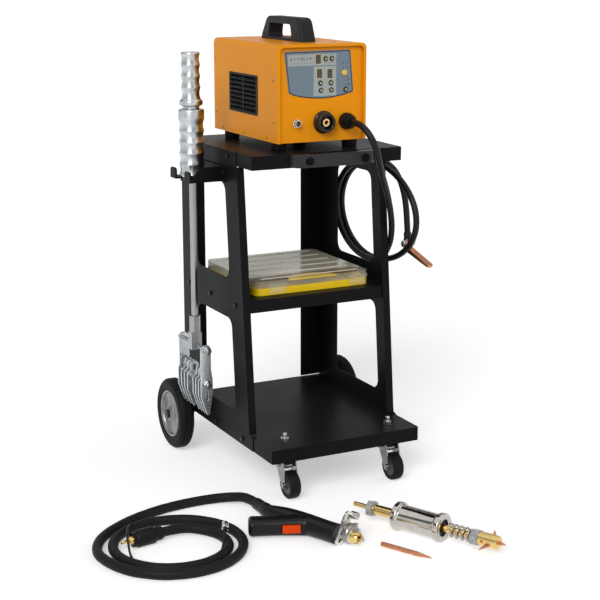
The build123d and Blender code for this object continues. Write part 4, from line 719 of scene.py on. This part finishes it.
def stroke(points, width):
    shapes = []
    for start, end in zip(map(Vector, points), map(Vector, points[1:])):
        run = (end - start).normalized() * width / 2
        side = Vector((-run.y, run.x))
        shapes.append([start - run + side, end + run + side, end + run - side, start - run - side])
    return shapes


BORDER = 2.3
BORDER_FOOT = 977.5
BORDER_DIP = 13.6
BORDER_HALF = 88.0
BORDER_RUN = range(82, -82, -12)
BORDER_START = (-85.5, 979.5)
FIELDS = ((-90, 1042, 41, 1069), (-21, 968.6, 41, 1039.5))
POINTER = ((-85, 1056), (-79, 1056), (-82, 1062))
ZIGZAG = ((-39, 1063), (-37, 1059.5), (-39.5, 1058.5), (-37.5, 1054.5))
ZIGZAG_W = 1.0
MARK_W = 1.2
MARK_LINES = (
    ((-75, 1059), (-70, 1059)),
    ((-55, 1055.5), (-55, 1062)),
    ((-52, 1055.5), (-52, 1062)),
    ((-47, 1062.5), (-47, 1055.5), (-44, 1055.5)),
    ((73.5, 1002.5), (73.5, 1007.5), (77.5, 1007.5)),
    ((73.5, 991.0), (73.5, 996.0), (77.5, 996.0), (77.5, 991.0)))
MARK_DOTS = (
    (-65.5, 1059, 1.1), (-62.5, 1059, 1.1), (-59.5, 1059, 1.1), (-29, 1059, 2.2), (60.7, 1046, 1.5),
    (70.9, 1046, 1.5), (60.8, 1034.5, 1.5), (71.6, 1034.5, 1.5))
MARK_RULES = ((8, 1048.6, 33, 1049.2), (-6, 992.2, 2, 992.8), (22, 992.2, 31, 992.8))
TICK_X = (-82, -72.5, -62.5, -53.5, -45.5, -38, -29)
TICK_Z = 1047.9
TICK_HALF = 1.5
TICK_THIN = 0.4
SIGNAL_DOTS = ((65.7, 1005, 1.6), (65.7, 993.5, 1.6))
border_foot = [(x, BORDER_FOOT - BORDER_DIP * (1 - (x / BORDER_HALF) ** 2)) for x in BORDER_RUN]
border_line = [BORDER_START, (-97.0, 1074.0), (77.6, 1075.0), (86.3, 979.0)]
border_line += border_foot + [BORDER_START]
label_dark = coated("label_print_dark", colour(30, 36, 46), 0.4, grain=1800.0, depth=0.004, mottle=0.03)
label_pale = coated("label_print_pale", colour(166, 174, 172), 0.4, grain=1800.0, depth=0.004,
                    mottle=0.03, Specular_IOR_Level=0.25)
label_cream = coated("label_print_cream", colour(196, 184, 140), 0.4, grain=1800.0, depth=0.004,
                     mottle=0.03)
signal_red = coated("signal_red", colour(196, 62, 52), 0.3, grain=1500.0, depth=0.004)
marks = [POINTER] + stroke(ZIGZAG, ZIGZAG_W)
for mark_line in MARK_LINES:
    marks += stroke(mark_line, MARK_W)
marks += [disc(*dot) for dot in MARK_DOTS] + [bar(*rule) for rule in MARK_RULES]
marks += [block(x, TICK_Z, TICK_HALF, TICK_THIN) for x in TICK_X]
printed("label_border", stroke(border_line, BORDER), label_dark)
printed("label_fields", [bar(*field) for field in FIELDS], label_pale, lift=0.08)
printed("label_marks", marks, label_dark, lift=0.2)
printed("label_signal_dots", [disc(*dot) for dot in SIGNAL_DOTS], signal_red, lift=0.4)

NUMERALS = ((-8.5, 1057.0), (-5.0, 1022.5), (23.5, 1021.5))
WINDOW_HALF_W = 8.0
WINDOW_HALF_H = 12.0
FRAME_HALF = 1.0
GLASS_IN = 0.8
SEGMENT_THIN = 0.7
SEGMENT_FLAT = 3.4
SEGMENT_TALL = 3.0
FLAT_LEVELS = (-8.0, 0.0, 8.0)
TALL_LEVELS = (-4.0, 4.0)
TALL_EDGES = (-4.4, 4.4)
window_glass = coated("numeral_window_brown", colour(46, 38, 30), 0.14, grain=600.0, depth=0.003,
                      mottle=0.05, Coat_Weight=0.4)
numeral_dim = coated("numeral_bars_unlit", colour(86, 70, 52), 0.3, grain=900.0, depth=0.003)
window_frames = []
window_panes = []
segments = []
for x, z in NUMERALS:
    for out in (-1.0, 1.0):
        window_frames.append(block(x, z + out * WINDOW_HALF_H, WINDOW_HALF_W + FRAME_HALF, FRAME_HALF))
        window_frames.append(block(x + out * WINDOW_HALF_W, z, FRAME_HALF, WINDOW_HALF_H - FRAME_HALF))
    window_panes.append(block(x, z, WINDOW_HALF_W - GLASS_IN, WINDOW_HALF_H - GLASS_IN))
    for level in FLAT_LEVELS:
        segments.append(block(x, z + level, SEGMENT_FLAT, SEGMENT_THIN))
    for level in TALL_LEVELS:
        for edge in TALL_EDGES:
            segments.append(block(x + edge, z + level, SEGMENT_THIN, SEGMENT_TALL))
printed("numeral_frames", window_frames, label_cream, lift=0.5)
printed("numeral_windows", window_panes, window_glass, lift=0.2)
printed("numeral_bars", segments, numeral_dim, lift=0.05, back=0.2)

LENS_X = 63.5
LENS_Z = 1022.5
LENS_LINE = ((7.3, -0.2), (7.3, 1.6), (6.6, 2.4), (4.6, 3.3), (2.2, 3.8), (0.0, 3.9))
lamp_yellow = coated("lamp_yellow", colour(236, 190, 62), 0.16, grain=500.0, depth=0.003, Coat_Weight=0.5)
lens_spot = Vector((CASE_X + LENS_X, LABEL_FACE, LENS_Z)) * MM
lamp_lens = turned("indicator_lens", LENS_LINE, lens_spot, (0, -1, 0), [lamp_yellow], ease=0.5, sides=40)
fitted(lamp_lens, "trolley")

KEYS = ("program_key_down", "program_key_up", "current_key_up", "current_key_down", "time_key_up",
        "time_key_down", "mode_key")
KEY_LINE = (
    (0, 2.7), (1.9, 2.65), (2.3, 2.3), (2.9, 2.3), (3.2, 2.8), (4.1, 2.7), (4.5, 2.0), (4.5, -3.3),
    (6, -3.3), (6, -4.8), (0, -4.8))
KEY_RING_R = 3.05
KEY_CENTRE_R = 2.1
WELL_R = 5.6
WELL_W = 1.7
key_ring = lathed("key_ring_olive", colour(150, 138, 72), colour(92, 84, 44), 0.34, lines=2500.0)
key_pale = coated("key_centre_pale", colour(196, 198, 180), 0.36, grain=1500.0, depth=0.01)
key_dark = coated("key_gap_dark", colour(52, 50, 38), 0.5, grain=1500.0, depth=0.01)


def key_part(r, h):
    if r > KEY_RING_R or h < 0:
        return 0
    return 2 if r > KEY_CENTRE_R else 1


key_wells = []
for key in KEYS:
    key_spot = middle_of(key)
    key_spot.y = LABEL_FACE * MM
    cap = turned(key + "_cap", KEY_LINE, key_spot, (0, -1, 0), [key_ring, key_pale, key_dark],
                 ease=0.25, sides=36, band=key_part)
    stands_for(cap, key)
    well = disc(key_spot.x / MM - CASE_X, key_spot.z / MM, WELL_R, sides=20)
    key_wells += stroke(well + well[:1], WELL_W)
printed("key_wells", key_wells, label_dark, lift=0.1)

# Sockets and glands: the central torch socket is a black bakelite body round a turned brass contact,
# the small round one a chromed shell with two pins, and black nylon glands hold the cables.
PANEL_FACE = 105.5
SOCKET_Z = 905.0
CENTRAL_LINE = (
    (10.5, -32), (21, -32), (21, 0), (28, 0), (28, 3.2), (26.6, 5.6), (24.2, 7), (24, 18.5), (22.6, 20),
    (18, 20), (16.5, 18.6), (16.5, 2), (10.5, 2))
CONTACT_LINE = (
    (0, -30), (10.4, -30), (10.4, 13.8), (9.4, 16.2), (5.6, 16.5), (4.7, 15.6), (4.7, -20), (0, -20))
AVIATION_LINE = (
    (0, -14), (8, -14), (8, 0), (10.4, 0), (10.4, 2.8), (8.7, 3.2), (8.6, 4.4), (8.2, 4.8), (8.6, 5.4),
    (8.2, 6), (8.6, 6.6), (8.2, 7.2), (8.6, 7.8), (8.6, 10.4), (8.2, 11), (6.9, 11), (6.5, 10.5),
    (6.5, 3), (0, 3))
INSERT_R = 6.6
INSERT_FACE = 3.6
PIN_LINE = ((0.0, 2.8), (1.1, 2.8), (1.1, 8.2), (0.6, 9.0), (0.0, 9.0))
PIN_ASIDE = 2.6
socket_black = coated("bakelite_black", colour(13, 13, 14), 0.24, grain=500.0, depth=0.01, mottle=0.08,
                      Specular_IOR_Level=0.4)
moulded_black = coated("moulded_black_plastic", colour(17, 17, 19), 0.42, grain=1000.0, depth=0.03,
                       mottle=0.08, Specular_IOR_Level=0.16)
turned_brass = lathed("turned_brass", colour(234, 204, 140), colour(222, 186, 118), 0.24, lines=2600.0,
                      depth=0.002)
chrome_plate = lathed("chrome_plate", colour(214, 216, 218), colour(188, 190, 193), 0.08, lines=900.0,
                      depth=0.002)
socket_spot = Vector((middle_of("central_socket").x, PANEL_FACE * MM, SOCKET_Z * MM))
socket = turned("central_socket_body", CENTRAL_LINE, socket_spot, (0, -1, 0), [socket_black], ease=0.9)
stands_for(socket, "central_socket")
contact = turned("socket_contact_brass", CONTACT_LINE, socket_spot, (0, -1, 0), [turned_brass],
                 ease=0.4, sides=48)
stands_for(contact, "socket_contact")
round_spot = Vector((middle_of("aviation_socket").x, PANEL_FACE * MM, SOCKET_Z * MM))


def insert_part(r, h):
    return int(r < INSERT_R and 0 < h < INSERT_FACE)


round_socket = turned("aviation_socket_shell", AVIATION_LINE, round_spot, (0, -1, 0),
                      [chrome_plate, socket_black], ease=0.2, sides=48, band=insert_part)
stands_for(round_socket, "aviation_socket")
for side, out in SIDES:
    pin_spot = round_spot + Vector((out * PIN_ASIDE * MM, 0, 0))
    pin = turned("aviation_pin_" + side, PIN_LINE, pin_spot, (0, -1, 0), [turned_brass], ease=0.2,
                 sides=20)
    fitted(pin, "trolley")
dressed("cable_glands", "_nylon", moulded_black, width=0.8, steps=3)

# Organiser box: a yellow moulded tray with a clear ridged lid on a pin hinge, closed by two
# snap latches. It lies loose on the shelf and slides out to the front.
organiser_yellow = coated("organiser_yellow", colour(240, 202, 14), 0.35, depth=0.015, mottle=0.04,
                          Specular_IOR_Level=0.45)
dressed("organiser_base", "_tray", organiser_yellow, width=0.8)
RIDGE_H = 1.2
MILK_FROM = 50.0
MILK_TO = 68.0
LID_LEVEL = 0.7
lid_low, lid_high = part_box("organiser_lid")
ridge_foot = lid_high.z / MM - RIDGE_H


def clear_plastic(name, tint, front, rear):
    material = coated(name, tint, 0.15, grain=300.0, mottle=0.05, reach=0.06, dust=0.06)
    tree = material.node_tree
    place = add(tree, "ShaderNodeTexCoord").outputs["Object"]
    depth = add(tree, "ShaderNodeSeparateXYZ", {"Vector": place}).outputs["Y"]
    milk = ranged(tree, depth, lid_low.y + MILK_FROM * MM, lid_low.y + MILK_TO * MM, front, rear)
    tree.links.new(milk, tree.nodes["Principled BSDF"].inputs["Alpha"])
    return material


lid_milky = clear_plastic("milky_lid_top", colour(196, 190, 173), 0.07, 0.84)
lid_clear = clear_plastic("clear_lid_wall", colour(238, 233, 212), 0.15, 0.42)
# The ridge tops are opaque and pale: painted highlight for the glints along the clear lid's ridges.
ridge_highlight = coated("lid_ridge_painted_highlight", colour(222, 217, 200), 0.3, depth=0.01)


def lid_part(place, way):
    if place.z > ridge_foot:
        return 2
    return abs(way.z) < LID_LEVEL


dressed("organiser_lid", "_moulding", lid_milky, width=0.9, steps=3,
        also=(lid_clear, ridge_highlight), where=lid_part)
PAD_REACH = 68.0
PAD_DEPTH = 56.0
PAD_FRONT = 6.0
PAD_BELOW = 2.6
PAD_T = 2.0
PAD_STEPS = 12
PAD_ANGLE = 40.0


def arch(x, y, reach, rise, steps):
    angles = [math.pi * i / steps for i in range(steps + 1)]
    return [(x + reach * math.cos(a), y + rise * math.sin(a)) for a in angles]


def plate(name, corners, rise, material, angle):
    form = bmesh.new()
    prism(form, corners, rise)
    return formed(name, form, [material], angle)


box_x = middle_of("organiser_base").x / MM
pad_foot = ridge_foot - PAD_BELOW - PAD_T
pad_line = arch(box_x, PAD_FRONT, PAD_REACH, PAD_DEPTH, PAD_STEPS)
pad_corners = [Vector((x * MM, lid_low.y + y * MM, pad_foot * MM)) for x, y in pad_line]
front_pad = plate("organiser_front_pad", pad_corners, Vector((0.0, 0.0, PAD_T * MM)), organiser_yellow,
                  PAD_ANGLE)
fitted(front_pad, "organiser")
for side in ("left", "right"):
    dressed("organiser_latch_" + side, "_clip", lid_clear, width=0.6)

# Claw puller: a turned aluminium weight rides on a zinc-plated rod between the fork and the top grip.
# Below hang eight laser-cut claw plates on two cross bolts, under a welded yoke.
bright_alu = lathed("turned_aluminium", colour(220, 223, 225), colour(168, 172, 176), 0.33, lines=1300.0,
                    depth=0.004, Anisotropic=0.85, Anisotropic_Rotation=0.25)
HOLLOW_STEPS = 20
RIDGE_SHARE = 0.78


def scalloped(z0, z1, count, low, high):
    line = []
    for i in range(count * HOLLOW_STEPS + 1):
        t = i / HOLLOW_STEPS % 1
        rise = min(1.0, (2 * t - 1) ** 2 / RIDGE_SHARE)
        line.append((low + (high - low) * rise, z0 + (z1 - z0) * i / count / HOLLOW_STEPS))
    return line


WEIGHT_BORE = 8.3
COLLAR_R = 32.5
weight_low, weight_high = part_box("puller_weight")
weight_foot = weight_low.z / MM
weight_top = weight_high.z / MM
pull_axis = middle_of("puller_weight")
pull_axis.z = 0.0
weight_line = [(WEIGHT_BORE, weight_foot), (24.5, weight_foot), (27.5, weight_foot + 3)]
weight_line += scalloped(weight_foot + 5, weight_top - 26, count=5, low=29.0, high=31.5)
weight_line += [(COLLAR_R, weight_top - 24), (COLLAR_R, weight_top - 3), (29.5, weight_top),
                (WEIGHT_BORE, weight_top)]
weight = turned("puller_weight_turned", weight_line, pull_axis, (0, 0, 1), [bright_alu], ease=0.8,
                sides=96, angle=24.0)
stands_for(weight, "puller_weight")
GRIP_BORE = 8.2
GRIP_NECK_R = 21.0
GRIP_RING_R = 29.0
GRIP_WELL = 14.0
grip_low, grip_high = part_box("puller_handle")
grip_foot = grip_low.z / MM
grip_top = grip_high.z / MM
grip_line = [
    (GRIP_BORE, grip_foot), (GRIP_NECK_R, grip_foot), (GRIP_NECK_R, grip_foot + 7), (26, grip_foot + 8),
    (GRIP_RING_R, grip_foot + 11), (GRIP_RING_R, grip_foot + 19.7), (26, grip_foot + 22.7)]
grip_line += scalloped(grip_foot + 24.7, grip_top - 3, count=4, low=21.5, high=24.0)
grip_line += [(22, grip_top), (0, grip_top), (0, grip_top - GRIP_WELL), (GRIP_BORE, grip_top - GRIP_WELL)]
grip = turned("puller_handle_turned", grip_line, pull_axis, (0, 0, 1), [bright_alu], ease=0.8, sides=96,
              angle=24.0)
stands_for(grip, "puller_handle")
rod_zinc = metal("drawn_zinc_bar", colour(168, 170, 172), colour(142, 146, 153), 0.32, patch=30.0)
dressed("puller_rod", "_bar", rod_zinc, width=0.6)
claw_zinc = metal("blue_zinc_plate", colour(216, 221, 223), colour(176, 186, 198), 0.27, patch=30.0,
                  share=0.35, reach=0.03)
dressed("claw_fingers", "_plates", claw_zinc)
CLAW_BOLTS = (("upper", 328.0), ("lower", 239.0))
CLAW_NUT_LINE = (
    (5.2, 0.4), (10.4, 0.4), (11.8, 1.6), (11.8, 7.4), (10.4, 8.6), (6, 8.6), (6, 11), (5, 12), (0, 12),
    (0, 7.2), (5.2, 7.2))
CHEEK_T = 4.0
CHEEK_GAP = 0.3
CHEEK_HALF = 14.0
CHEEK_FOOT = 252.0
CHEEK_TOP = 341.0
CHEEK_STEPS = 8
CHEEK_ANGLE = 30.0
STRAP_T = 5.0
nut_steel = metal("bright_nut_steel", colour(172, 172, 172), colour(104, 106, 110), 0.22, patch=90.0,
                  share=0.7)
claw_low, claw_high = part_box("claw_fingers")
claw_ends = (("near", claw_low.y, -1.0), ("far", claw_high.y, 1.0))
for bolt_name, bolt_z in CLAW_BOLTS:
    for end_name, end_y, out in claw_ends:
        nut_spot = (pull_axis.x, end_y, bolt_z * MM)
        claw_nut = turned(f"claw_nut_{bolt_name}_{end_name}", CLAW_NUT_LINE, nut_spot, (0, out, 0),
                          [nut_steel], ease=0.3, sides=6, angle=25.0)
        fitted(claw_nut, "puller_bar")
cheek_line = [(-CHEEK_HALF, CHEEK_FOOT), (CHEEK_HALF, CHEEK_FOOT)]
cheek_line += arch(0.0, CHEEK_TOP - CHEEK_HALF, CHEEK_HALF, CHEEK_HALF, CHEEK_STEPS)
for end_name, end_y, out in claw_ends:
    cheek_y = end_y - out * (STRAP_T + CHEEK_GAP) * MM
    cheek_corners = [Vector((pull_axis.x + x * MM, cheek_y, z * MM)) for x, z in cheek_line]
    cheek_rise = Vector((0.0, -out * CHEEK_T * MM, 0.0))
    cheek = plate("claw_cheek_" + end_name, cheek_corners, cheek_rise, claw_zinc, CHEEK_ANGLE)
    fitted(cheek, "puller_bar")

# Ground cable: 16 mm welding cable in a black rubber jacket, from its gland down past the tray
# and one and a half times over the hook, ending in a crimped copper lug with a bent contact bar.
TUBE_ANGLE = 50.0
FEEL_OUT = 0.01


def smooth_line(name, route):
    curve = bpy.data.curves.new(name, "CURVE")
    curve.dimensions = "3D"
    spline = curve.splines.new("NURBS")
    spline.points.add(len(route) - 1)
    for point, place in zip(spline.points, route):
        point.co = [c * MM for c in place] + [1.0]
    spline.order_u = 3
    spline.use_endpoint_u = True
    spline.resolution_u = 10
    thing = keep(name, curve)
    points = [v.co.copy() for v in evaluated(thing).vertices]
    bpy.data.objects.remove(thing)
    return points


def tube(name, points, radius, material, sides):
    form = bmesh.new()
    side = (points[1] - points[0]).normalized().orthogonal().normalized()
    rings = []
    for i, here in enumerate(points):
        ahead = (points[min(i + 1, len(points) - 1)] - points[max(i - 1, 0)]).normalized()
        side = (side - ahead * side.dot(ahead)).normalized()
        ways = ring_ways(side, ahead.cross(side), sides)
        rings.append([form.verts.new(here + way * radius(here + way * FEEL_OUT)) for way in ways])
    for low, high in zip(rings, rings[1:]):
        for k in range(sides):
            m = (k + 1) % sides
            form.faces.new((low[k], low[m], high[m], high[k]))
    form.faces.new(rings[0][::-1])
    form.faces.new(rings[-1])
    return formed(name, form, [material], TUBE_ANGLE)


CABLE_R = 8.0
TURN_POINTS = 12
LOOP_POINTS = 20
LOOP_START = 252.0
LOOP_X = 262.0
LOOP_ASIDE = 17.6
LOOP_BULGE = 10.0
LOOP_Y = 269.0
LOOP_REACH = 192.0
LOOP_AHEAD = 22.0
LOOP_Z = 645.0
LOOP_RISE = 134.0
cable_route = [
    (103.3, 73, 905), (103.3, 35, 905), (111, 4, 885), (124, -9, 852), (139, 1, 814), (161, 23, 776),
    (189, 53, 740), (217, 86, 703), (238, 108, 660), (252, 126, 615), (259, 149, 570)]
for step in range(LOOP_POINTS):
    a = math.radians(LOOP_START + 360 / TURN_POINTS * step)
    ahead = max(0.0, -math.cos(a))
    loop_x = LOOP_X + LOOP_ASIDE * step / TURN_POINTS + LOOP_BULGE * ahead
    loop_y = LOOP_Y + (LOOP_REACH + LOOP_AHEAD * ahead) * math.cos(a)
    cable_route.append((loop_x, loop_y, LOOP_Z + LOOP_RISE * math.sin(a)))
cable_route += [(295, 181, 757), (298, 149, 716), (299, 133, 664), (299, 127, 606)]
cable_line = smooth_line("ground_cable_route", cable_route)
cable_jacket = coated("cable_jacket_rubber", colour(17, 17, 19), 0.42, grain=900.0, depth=0.03,
                      mottle=0.1, reach=0.09, Specular_IOR_Level=0.26)
ground_cable = tube("ground_cable_jacket", cable_line, lambda place: CABLE_R * MM, cable_jacket, sides=24)
LUG_AT = Vector((299.0, 124.0, 577.0))
JACKET_END = 583.5
LUG_BOLT_LINE = (
    (0, -17), (8, -17), (9.2, -16), (9.2, -12), (11, -12), (11, -10), (4, -10), (4, 10), (11, 10),
    (11, 12), (9.2, 12), (9.2, 17), (8, 18), (4, 18), (4, 22), (0, 22))
copper_bar = metal("worn_copper", colour(212, 146, 110), colour(164, 102, 72), 0.34, patch=70.0,
                   share=0.6)
ground_lug = dressed("ground_lug", "_copper", copper_bar, width=1.0, steps=3,
                     also=(cable_jacket,), where=lambda place, way: place.z > JACKET_END)
lug_bolt = turned("ground_lug_bolt", LUG_BOLT_LINE, LUG_AT * MM, (1, 0, 0), [bright_zinc], ease=0.4,
                  sides=6)
fitted(lug_bolt, "trolley")
stands_for(ground_cable, "ground_cable")

# Gun: two black moulded halves with a bent grip and a rubber boot, an orange trigger in the grip's
# front, and a steel nose with a slotted clamp strap, a ring, a nut and a lever round the split
# brass collet.
gun_plastic = coated("gun_black_plastic", colour(14, 15, 16), 0.36, grain=800.0, depth=0.03, mottle=0.1,
                     reach=0.07, Specular_IOR_Level=0.26)
softened("gun_shell", "_moulding", gun_plastic, voxel=1.5, rounds=9)
trigger_orange = coated("trigger_orange", colour(228, 72, 12), 0.36, grain=900.0, Specular_IOR_Level=0.18)
dressed("gun_trigger", "_button", trigger_orange, width=1.0, steps=3)
STRAP_FACE = -24.0
STRAP_SQUARE = 0.9
RING_ASIDE = 4.0
RING_UP = 3.5
NOSE_RING_LINE = ((8.0, -19.0), (22.0, -19.0), (23.5, -17.5), (23.5, -6.0), (21.0, -2.0), (8.0, -1.0))
nose_steel = metal("polished_nose_steel", colour(208, 206, 201), colour(140, 139, 137), 0.24,
                   patch=50.0, share=0.6)
strap_steel = metal("satin_strap_steel", colour(240, 239, 236), colour(214, 213, 210), 0.5, patch=50.0)
ring_steel = metal("dull_ring_steel", colour(160, 154, 146), colour(104, 100, 95), 0.26, patch=50.0,
                   share=0.6)
collet_brass = metal("machined_brass", colour(232, 202, 134), colour(204, 164, 92), 0.26, patch=90.0)
collet_way = Vector(next(m["axis"] for m in frame["record"]["mounts"] if m["name"] == "collet_bore"))
collet_spot = middle_of("gun_collet")


def on_strap(place, way):
    return (place - collet_spot / MM).dot(collet_way) < STRAP_FACE and way.dot(collet_way) > STRAP_SQUARE


dressed("gun_nose", "_steel", nose_steel, also=(strap_steel,), where=on_strap)
ring_shift = collet_way.cross(Vector((0.0, 0.0, -1.0))) * RING_ASIDE + Vector((0.0, 0.0, RING_UP))
nose_ring = turned("gun_nose_ring", NOSE_RING_LINE, collet_spot + ring_shift * MM, collet_way,
                   [ring_steel], ease=1.0, sides=56)
fitted(nose_ring, "gun")
dressed("gun_collet", "_brass", collet_brass, width=0.5)

# Gun hose: the current cable inside a black woven sleeve, from the gun's boot round a flat coil
# on the floor to the bayonet plug.
HOSE_R = 12.0
COIL_POINTS = 19
COIL_START = 180.0
COIL_X = -485.0
COIL_Y = -181.0
COIL_REACH = 174.0
COIL_INWARD = 33.0
COIL_TUCK = 8.0
COIL_TUCK_FROM = 17
SLEEVE_SLACK = 0.4
CREASE = 0.35
CREASE_FINE = 70.0
CREASE_WIDE = 22.0
boot_end = (-230.1, -70.1, 26)
hose_route = [
    boot_end, (-232.2, -26.1, 26), (-255, 15, 17), (-295, 37, 12), (-367, 39, 12), (-435, 29, 12),
    (-500, 8, 12), (-565, -25, 12), (-621, -71, 12), (-653, -127, 12)]
for step in range(COIL_POINTS):
    a = math.radians(COIL_START + 360 / TURN_POINTS * step)
    r = COIL_REACH - COIL_INWARD * step / TURN_POINTS - COIL_TUCK * max(0, step - COIL_TUCK_FROM)
    hose_route.append((COIL_X + r * math.cos(a), COIL_Y + r * math.sin(a), HOSE_R))
hose_route += [(-394, -136, 14), (-440, -113, 20), (-492, -121, 20)]
hose_line = smooth_line("gun_hose_route", hose_route)


def sleeve(place):
    crease = noise.noise(place * CREASE_FINE) * CREASE + noise.noise(place * CREASE_WIDE) * CREASE
    return (HOSE_R - SLEEVE_SLACK + crease) * MM


hose_cloth = coated("woven_hose_sleeve", colour(23, 21, 22), 0.56, grain=1600.0, depth=0.12, mottle=0.16,
                    Specular_IOR_Level=0.18)
gun_hose = tube("gun_hose_sleeve", hose_line, sleeve, hose_cloth, sides=28)
stands_for(gun_hose, "gun_hose")
PLUG_LINE = (
    (0, 0), (14, 0), (16, 6), (16, 20), (20, 24), (20, 66), (17, 70), (17, 78), (9, 78), (9, 86),
    (4.5, 87), (4.5, 103), (2.5, 105), (0, 105))
PLUG_BRASS_FROM = 78.1
plug_at = Vector(hose_route[-1])
plug_way = (plug_at - Vector(hose_route[-2])).normalized()
hose_plug = turned("hose_plug_moulding", PLUG_LINE, plug_at * MM, (plug_way.x, plug_way.y, 0),
                   [moulded_black, turned_brass], ease=1.2, sides=48,
                   band=lambda r, h: int(h > PLUG_BRASS_FROM))
stands_for(hose_plug, "hose_plug")

# Control wire: a thin black two-core lead for the trigger. It comes out of the hose's sleeve,
# lies inside the coil and ends in a round chromed plug, which rests on the turns.
WIRE_R = 2.6
WIRE_PLUG_LINE = (
    (0, -2), (3.6, -2), (5, 4), (5, 12), (8.4, 13), (8.4, 19), (7.2, 20), (8.4, 21), (8.4, 38),
    (7.4, 39.5), (6.4, 39.5), (6.4, 33), (0, 33))
WIRE_BOOT_TO = 12.4
WIRE_INSERT_TO = 33.5
WIRE_INSERT_R = 6.3
wire_route = [
    (-537, -45, 20), (-546, -62, 29), (-560, -86, 32), (-573, -111, 34), (-581, -135, 34),
    (-588, -160, 25), (-594, -188, 9), (-593, -216, 2.8), (-582, -246, 2.8), (-561, -271, 2.8),
    (-530, -288, 2.8), (-495, -295, 2.8), (-460, -291, 2.8), (-428, -277, 2.8), (-405, -257, 5),
    (-390, -236, 15), (-379, -219, 27), (-370, -203, 32)]
wire_way = Vector((0.39, 0.92, 0.0))
wire_line = smooth_line("control_wire_route", wire_route)


def wire_plug_part(r, h):
    return int(h < WIRE_BOOT_TO or h < WIRE_INSERT_TO and r < WIRE_INSERT_R)


control_wire = tube("control_wire_jacket", wire_line, lambda place: WIRE_R * MM, cable_jacket, sides=14)
wire_plug = turned("control_wire_plug", WIRE_PLUG_LINE, Vector(wire_route[-1]) * MM, wire_way,
                   [chrome_plate, moulded_black], ease=0.5, sides=40, band=wire_plug_part)
for wire_piece, wire_slot in ((control_wire, "rubber_black"), (wire_plug, "bright_steel")):
    fitted(wire_piece, frame["nodes"]["gun_hose"]["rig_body"])

# Slide hammer: a brass rod and sleeve with steel nuts, a chromed sliding weight, a spring buffer
# and a cross-drilled brass head that holds the star-shaped copper bit.
HAMMER_AT = Vector((-32.0, -196.0, 34.0))
HAMMER_WAY = Vector((0.435, -0.9, 0.0)).normalized()
SHAFT_LINE = ((0, 0), (5, 0), (6, 1.5), (6, 46), (12, 46), (12, 232), (8.5, 235), (8.5, 362), (0, 362))
NUT_R = 17.0 * 2 / math.sqrt(3)
NUT_BEVEL = 2.0
NUT_RISE = 1.2
NUTS = (("hammer_nut", 6.1, 42.5, 60.0), ("hammer_collar", 8.6, 324.0, 345.0))
HAMMER_LINE = (
    (12.3, 122), (32, 122), (34, 124), (34, 134), (33, 136), (29, 139), (29, 233), (33, 236), (34, 238),
    (34, 248), (32, 250), (20, 250), (19, 243), (12.3, 243))
MOUTH_R = 19.6
MOUTH_FLOOR = 242.5
SPRING_R = 14.4
SPRING_WIRE_R = 2.7
SPRING_TURNS = 4
SPRING_FROM = 265.0
SPRING_LONG = 56.0
STAR_TILT = math.radians(-72.0)
STAR_SQUARE = 0.98
STAR_HALF = 3.0
STAR_OUT = 17.0
STAR_FRONT = 392.5
hammer_up = Vector((0.0, 0.0, 1.0))
hammer_side = HAMMER_WAY.cross(hammer_up)
star_way = hammer_up * -math.sin(STAR_TILT) + hammer_side * math.cos(STAR_TILT)
weight_chrome = lathed("chrome_weight", colour(202, 198, 193), colour(184, 179, 172), 0.1, lines=500.0,
                       depth=0.001)
spring_steel = metal("spring_steel", colour(178, 172, 160), colour(140, 132, 118), 0.24)


def on_hammer(name, line, materials, **settings):
    return turned(name, line, HAMMER_AT * MM, HAMMER_WAY, materials, **settings)


shaft = on_hammer("hammer_shaft_rod", SHAFT_LINE, [turned_brass], ease=0.5, sides=48)
stands_for(shaft, "hammer_shaft")
for nut_name, bore, low, high in NUTS:
    nut_line = ((bore, low), (NUT_R - NUT_BEVEL, low), (NUT_R, low + NUT_RISE), (NUT_R, high - NUT_RISE),
                (NUT_R - NUT_BEVEL, high), (bore, high))
    nut = on_hammer(nut_name, nut_line, [nut_steel], ease=0.3, sides=6)
    fitted(nut, "slide_hammer")
# The inside of the weight's mouth takes the black bakelite finish: painted shade in the recess.
hammer_weight = on_hammer("hammer_weight_chrome", HAMMER_LINE, [weight_chrome, socket_black], ease=1.4,
                          sides=96, band=lambda r, h: int(r < MOUTH_R and h > MOUTH_FLOOR))
stands_for(hammer_weight, "hammer_weight")
spring_route = []
for step in range(SPRING_TURNS * TURN_POINTS + 1):
    t = step / (SPRING_TURNS * TURN_POINTS)
    a = 2 * math.pi * SPRING_TURNS * t
    spring_out = hammer_up * math.cos(a) + hammer_side * -math.sin(a)
    spring_route.append(HAMMER_AT + HAMMER_WAY * (SPRING_FROM + SPRING_LONG * t) + spring_out * SPRING_R)
spring_line = smooth_line("hammer_spring_route", spring_route)
hammer_spring = tube("hammer_spring_wire", spring_line, lambda place: SPRING_WIRE_R * MM, spring_steel,
                     sides=14)
stands_for(hammer_spring, "hammer_spring")


def on_star(place, way):
    off = place - HAMMER_AT
    along = off.dot(HAMMER_WAY)
    out = (off - HAMMER_WAY * along).length
    flat = abs(way.dot(star_way)) > STAR_SQUARE and abs(off.dot(star_way)) < STAR_HALF
    return flat or out > STAR_OUT or along > STAR_FRONT


dressed("hammer_head", "_brass", collet_brass, width=0.4, also=(copper_bar,), where=on_star)

# Spare electrode: a length of drawn copper rod, dulled by handling and turned to a point.
# It lies loose on the floor ahead of the trolley.
dressed("copper_electrode", "_rod", copper_bar, width=0.4)
